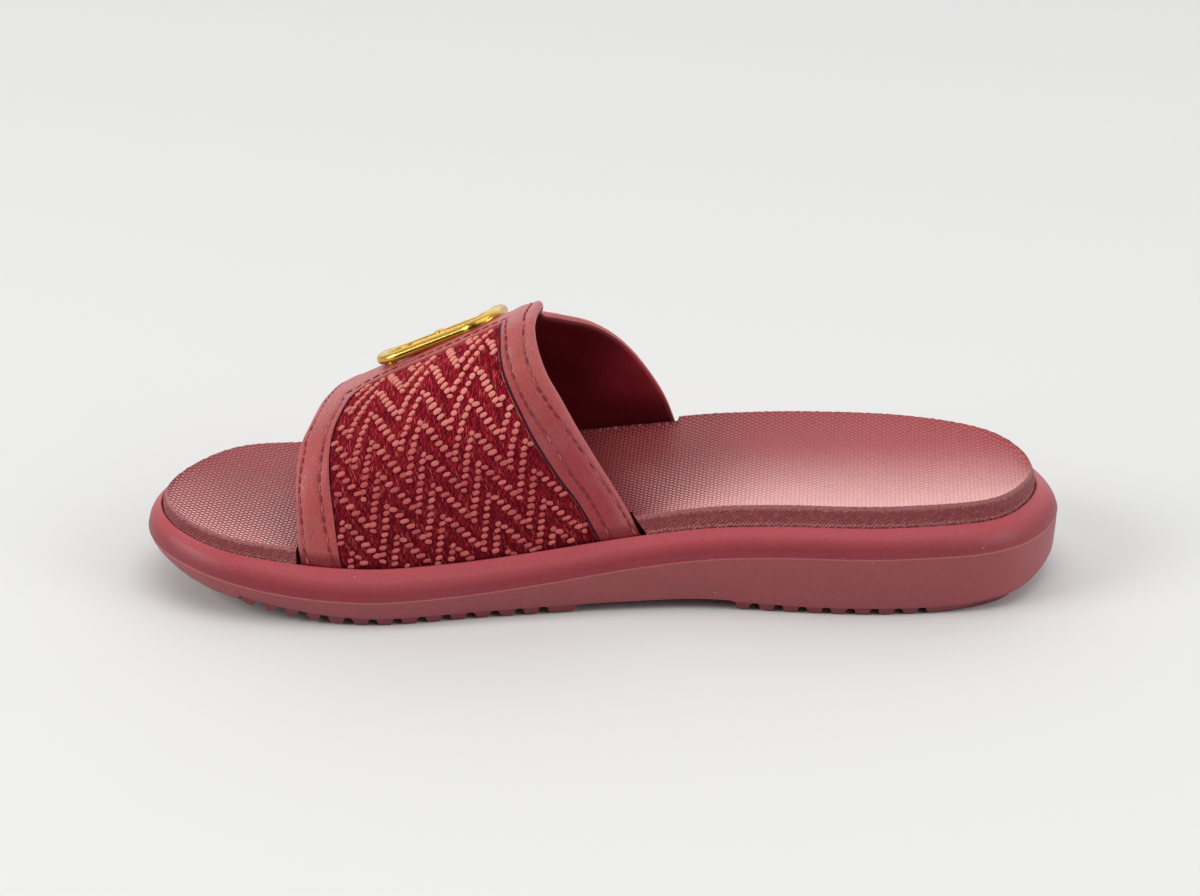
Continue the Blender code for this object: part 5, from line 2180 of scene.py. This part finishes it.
    def strands(self, far: bool, rng: np.random.Generator) -> tuple[np.ndarray, np.ndarray]:
        """Placings and tones of the fine ground strands in one window."""
        column, row = np.meshgrid(np.arange(*self.strand_columns), np.arange(*self.strand_rows))
        column, row = column.ravel(), row.ravel()
        stagger, first = self.strand_stagger
        over = (row + stagger * (column % 3) + first) * self.strand_step
        slide = over / math.tan(math.radians(self.strand_tilt))
        wide, tall = self.strand_jitter
        plain = self.strand_start + column * self.strand_pitch + slide
        plain = plain + rng.normal(0.0, wide, len(column))
        over = over + rng.normal(0.0, tall, len(column))
        along = self.sheared(plain / MM, over / MM) * MM
        low, high = self.along_reach
        keep = (along > low) & (along < high) & (over > 0.0)
        along, over = along[keep], over[keep]
        angle, inside = self.placed(far, along, over, self.margin)
        along, over, angle = along[inside], over[inside], angle[inside]
        count = len(along)
        bend = 2.0 * self.shear * np.clip(over / MM - self.shear_start, 0.0, None)
        tilt = self.strand_tilt - np.degrees(np.arctan(bend))
        tilt = tilt + rng.normal(0.0, self.strand_turn, count)
        tilt = -tilt if far else tilt
        sizes = np.tile(self.strand_size, (count, 1)) * rng.uniform(0.85, 1.1, (count, 3))
        places = bead_places(self.strap, angle, along, tilt, sizes, self.strand_lift)
        return places, rng.uniform(0.0, 1.0, count)

    def build(self, finishes: Finishes) -> None:
        """Make the raised yarn and the strands of both windows."""
        for far, side in ((False, "medial"), (True, "lateral")):
            rng = np.random.default_rng(self.seed + far)
            places, tones = self.floats(far, rng)
            yarn = scatter(f"raised_yarn_{side}", (10, 7), places, tones, finishes.yarn, 0.82)
            seat(yarn, Slot.STRAP)
            places, tones = self.strands(far, rng)
            name = f"ground_strands_{side}"
            seat(scatter(name, (5, 4), places, tones, finishes.strand, 0.85), Slot.STRAP)


@dataclass(frozen=True)
class RingOrnament:
    """Cast gilt ring with its cross bar, four feet and the domed stud."""

    form: ShoeForm
    angle: float = 112.0
    along: float = 0.0836
    length: float = 0.0376
    width: float = 0.0240
    corner: float = 0.0060
    bar: float = 0.0029
    rear_bar: float = 0.0046
    rear_height: float = 1.10
    standoff: float = 0.0015
    cross_bar: float = 0.0018
    cross_drop: float = 0.0006
    roll: float = 4.0
    pitch: float = 1.5
    collar: float = 0.0090
    collar_gain: float = 0.24
    foot: float = 0.0021
    foot_inset: float = 0.0006
    spread: float = 0.72
    bend_radius: float = 0.0700
    stud: float = 0.0038
    stud_height: float = 0.0009
    corner_cells: int = 14
    straight_cells: int = 36
    sides: int = 40
    stud_cells: tuple[int, int] = (40, 24)
    probe_angles: tuple[float, float, int] = (85.0, 140.0, 221)
    probe_alongs: tuple[float, float, int] = (0.060, 0.110, 201)
    pin_sides: int = 28
    pin_softness: float = 0.10
    sink: float = 0.0004
    collar_rise: float = 0.0008
    cup: tuple[float, float, float] = (0.42, 1.25, 0.30)

    def place(self) -> Matrix:
        """Frame of the ring: x along the strap, y over the foot, z outwards."""
        half = self.length / 2.0
        alongs = np.array([self.along, self.along + half, self.along - half])
        spots = self.form.strap_points(self.angle, alongs)
        here, rear, front = (Vector(spot) for spot in spots)
        along = (rear - front).normalized()
        over = Vector(self.form.strap_points(self.angle + 1.0, self.along)) - here
        out = along.cross(over).normalized()
        turn = Matrix((along, out.cross(along), out)).transposed().to_4x4()
        tilt = Matrix.Rotation(math.radians(self.pitch), 4, "Y")
        tilt = tilt @ Matrix.Rotation(math.radians(self.roll), 4, "X")
        return Matrix.Translation(here + out * self.standoff) @ turn @ tilt

    def depth_below(self, place: Matrix, x: float, y: float) -> float:
        """Height of the strap's face below a point of the ring, in the ring's own frame."""
        inverse = np.array(place.inverted())
        angles, alongs = np.meshgrid(
            np.linspace(*self.probe_angles), np.linspace(*self.probe_alongs)
        )
        points = self.form.strap_points(angles, alongs)
        local = points @ inverse[:3, :3].T + inverse[:3, 3]
        near = np.argmin(np.hypot(local[..., 0] - x, local[..., 1] - y))
        return float(local[..., 2].ravel()[near])

    def route(self) -> list[tuple[Vector, Vector]]:
        """Middle line of the bar with each point's outward direction, once round and closed."""
        centre = Vector((
            self.length / 2.0 - self.bar / 2.0 - self.corner,
            self.width / 2.0 - self.bar / 2.0 - self.corner,
        ))
        points = []
        for quarter, (sign_x, sign_y) in enumerate(((1, 1), (-1, 1), (-1, -1), (1, -1))):
            for k in range(self.corner_cells + 1):
                turn = math.pi / 2.0 * (quarter + k / self.corner_cells)
                out = Vector((math.cos(turn), math.sin(turn), 0.0))
                middle = Vector((sign_x * centre.x, sign_y * centre.y, 0.0))
                points.append((middle + out * self.corner, out))
        full = []
        for i, (point, out) in enumerate(points):
            full.append((point, out))
            after = points[(i + 1) % len(points)]
            if (after[0] - point).length > self.corner / 2.0:
                for k in range(1, self.straight_cells):
                    part = k / self.straight_cells
                    full.append((point.lerp(after[0], part), out))
        return full + full[:1]

    def build(self, finishes: Finishes) -> None:
        """Make the ring and the stud and fix them in place of the plain ones."""
        place = self.place()
        desk = MeshDesk()
        rows = []
        for point, out in self.route():
            rear = max(0.0, out.x) ** 2
            reach = (self.bar + (self.rear_bar - self.bar) * rear) / 2.0
            tall = self.bar / 2.0 * (1.0 + (self.rear_height - 1.0) * rear)
            start = self.length / 2.0 - self.collar
            swell = float(smooth_step(start, start + self.collar_rise, point.x))
            gain = 1.0 + self.collar_gain * swell
            reach, tall = reach * gain / (1.0 + self.collar_gain * rear), tall * gain
            row = []
            for j in range(self.sides + 1):
                turn = 2.0 * math.pi * j / self.sides
                rise = Vector((0.0, 0.0, math.sin(turn) * tall))
                row.append(point + out * math.cos(turn) * reach + rise)
            rows.append(row)
        desk.lay(np.array(rows))
        crosswise = Matrix.Translation((0.0, 0.0, -self.cross_drop))
        crosswise = crosswise @ Matrix.Rotation(math.pi / 2.0, 4, "X")
        self.pin(desk.bm, crosswise, self.cross_bar, self.width - self.bar)
        sunk, wide, deep = self.cup
        for end in (-1.0, 1.0):
            for side in (-1.0, 1.0):
                x = end * self.length / 2.0 * self.spread
                y = side * ((self.width - self.bar) / 2.0 - self.foot_inset)
                low = self.depth_below(place, x, y) + y * y / (2.0 * self.bend_radius) - self.sink
                self.pin(desk.bm, Matrix.Translation((x, y, low / 2.0)), self.foot, -low)
                collar = Matrix.Translation((x, y, -self.bar * sunk))
                self.pin(desk.bm, collar, self.foot * wide, self.bar * deep)
        for vert in desk.bm.verts:
            vert.co.z -= vert.co.y**2 / (2.0 * self.bend_radius)
        bmesh.ops.transform(desk.bm, matrix=place, verts=desk.bm.verts)
        seat(desk.close("gilt_ring", [finishes.gilt], sharp=60.0), Slot.METAL, "ring_ornament")

        desk = MeshDesk()
        around, across = self.stud_cells
        bmesh.ops.create_uvsphere(desk.bm, u_segments=around, v_segments=across, radius=1.0)
        cut = bmesh.ops.bisect_plane(
            desk.bm,
            geom=desk.bm.verts[:] + desk.bm.edges[:] + desk.bm.faces[:],
            plane_co=(0.0, 0.0, 0.0),
            plane_no=(0.0, 0.0, -1.0),
            clear_outer=True,
        )
        rim = [item for item in cut["geom_cut"] if isinstance(item, bmesh.types.BMEdge)]
        bmesh.ops.holes_fill(desk.bm, edges=rim, sides=0)
        size = Matrix.Diagonal((self.stud / 2.0, self.stud / 2.0, self.stud_height, 1.0))
        top = self.cross_bar / 2.0 - self.cross_drop + self.form.gap
        lift = Matrix.Translation((0.0, 0.0, top))
        bmesh.ops.transform(desk.bm, matrix=place @ lift @ size, verts=desk.bm.verts)
        seat(desk.close("gilt_stud", [finishes.gilt], sharp=60.0), Slot.METAL, "ring_stud")

    def pin(self, bm: bmesh.types.BMesh, place: Matrix, diameter: float, length: float) -> None:
        """Add a round pin with softened rims to the ring's mesh."""
        made = bmesh.ops.create_cone(
            bm,
            cap_ends=True,
            segments=self.pin_sides,
            radius1=diameter / 2.0,
            radius2=diameter / 2.0,
            depth=length,
            matrix=place,
        )
        near = (edge for vert in made["verts"] for edge in vert.link_edges)
        rims = {edge for edge in near if len(edge.link_faces) == 2}
        sharp = [edge for edge in rims if edge.calc_face_angle(0.0) > 1.0]
        bmesh.ops.bevel(
            bm,
            geom=sharp,
            offset=diameter * self.pin_softness,
            offset_type="OFFSET",
            affect="EDGES",
            segments=3,
            profile=0.5,
            material=-1,
        )


@dataclass(frozen=True)
class Studio:
    """Pale floor, soft lights and the camera at the photograph's angle."""

    target: tuple[float, float, float] = (-0.0011, -0.006, 0.03643)
    distance: float = 1.0
    elevation: float = 24.0
    lens: float = 105.9
    sensor: float = 36.0
    floor_size: float = 8.0
    world: float = 0.58
    dark_part: float = 0.06
    back_part: float = 2.3
    dark_side: tuple[float, float, float] = (-0.36, -0.72, 0.593)
    dark_range: tuple[float, float] = (0.62, 0.88)
    back_range: tuple[float, float] = (0.55, 0.95)
    room_tint: Colour = (0.97, 0.985, 1.0)
    light_rows: tuple[tuple, ...] = (
        ("top_softbox", (0.20, -0.50, 2.30), 2.0, 15.0, (1.0, 0.985, 0.965)),
        ("left_softbox", (-2.20, -0.80, 1.40), 1.4, 37.0, (1.0, 0.99, 0.98)),
        ("right_softbox", (2.10, -0.90, 1.20), 1.4, 17.0, (1.0, 0.99, 0.98)),
    )

    def light(
        self, name: str, spot: tuple[float, float, float], size: float, power: float, tint: Colour
    ) -> None:
        """Hang a square soft light that faces the shoe."""
        data = bpy.data.lights.new(name, "AREA")
        data.size = size
        data.energy = power
        data.color = tint
        lamp = bpy.data.objects.new(name, data)
        bpy.context.scene.collection.objects.link(lamp)
        lamp.location = spot
        aim = Vector(self.target) - Vector(spot)
        lamp.rotation_euler = aim.to_track_quat("-Z", "Y").to_euler()

    @staticmethod
    def facing(wires: Wires, direction: tuple[float, float, float]) -> Value:
        """How far a direction of the world points one way, from -1 to 1."""
        ahead = wires.value("ShaderNodeTexCoord", None, "Generated")
        return wires.vector("DOT_PRODUCT", ahead, direction, output="Value")

    def build(self, finishes: Finishes) -> None:
        """Lay the floor, set the lights and place the camera."""
        desk = MeshDesk()
        bmesh.ops.create_grid(desk.bm, x_segments=1, y_segments=1, size=self.floor_size / 2.0)
        floor = desk.close("studio_floor", [finishes.floor], outward=False)
        world = bpy.data.worlds.new("soft_studio")
        world.use_nodes = True
        backdrop = world.node_tree.nodes["Background"]
        backdrop.inputs["Strength"].default_value = self.world
        wires = Wires(world.node_tree)
        turn = math.radians(self.elevation)
        shade = self.facing(wires, self.dark_side)
        behind = self.facing(wires, (0.0, math.cos(turn), math.sin(turn)))
        lit = wires.range(behind, *self.back_range)
        room = wires.blend(lit, self.room_tint, (self.back_part,) * 3)
        room = wires.blend(wires.range(shade, *self.dark_range), room, (self.dark_part,) * 3)
        wires.feed(backdrop.inputs["Color"], room)
        bpy.context.scene.world = world
        for name, spot, size, power, tint in self.light_rows:
            self.light(name, spot, size, power, tint)
        camera = bpy.data.objects.new("camera", bpy.data.cameras.new("camera"))
        bpy.context.scene.collection.objects.link(camera)
        camera.data.sensor_width = self.sensor
        camera.data.lens = self.lens
        away = Vector((0.0, -math.cos(turn), math.sin(turn))) * self.distance
        camera.location = Vector(self.target) + away
        camera.rotation_euler = (math.pi / 2.0 - turn, 0.0, 0.0)
        bpy.context.scene.camera = camera
        bpy.context.scene.view_settings.view_transform = "Standard"
        LOG.info("studio ready")


def main() -> None:
    """Build the shoe piece by piece."""
    logging.basicConfig(level=logging.INFO, format="%(name)s: %(message)s")
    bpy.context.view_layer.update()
    finishes = Finishes()
    form = ShoeForm()
    strap = StrapForm(form)
    MouldedSole(form).build(finishes)
    Footbed(form, strap).build(finishes)
    StrapShell(form, strap).build(finishes)
    Stitching(strap).build(finishes)
    WovenPanels(strap).build(finishes)
    RingOrnament(form).build(finishes)
    Studio().build(finishes)
    LOG.info("size written")


if __name__ == "__main__":
    main()
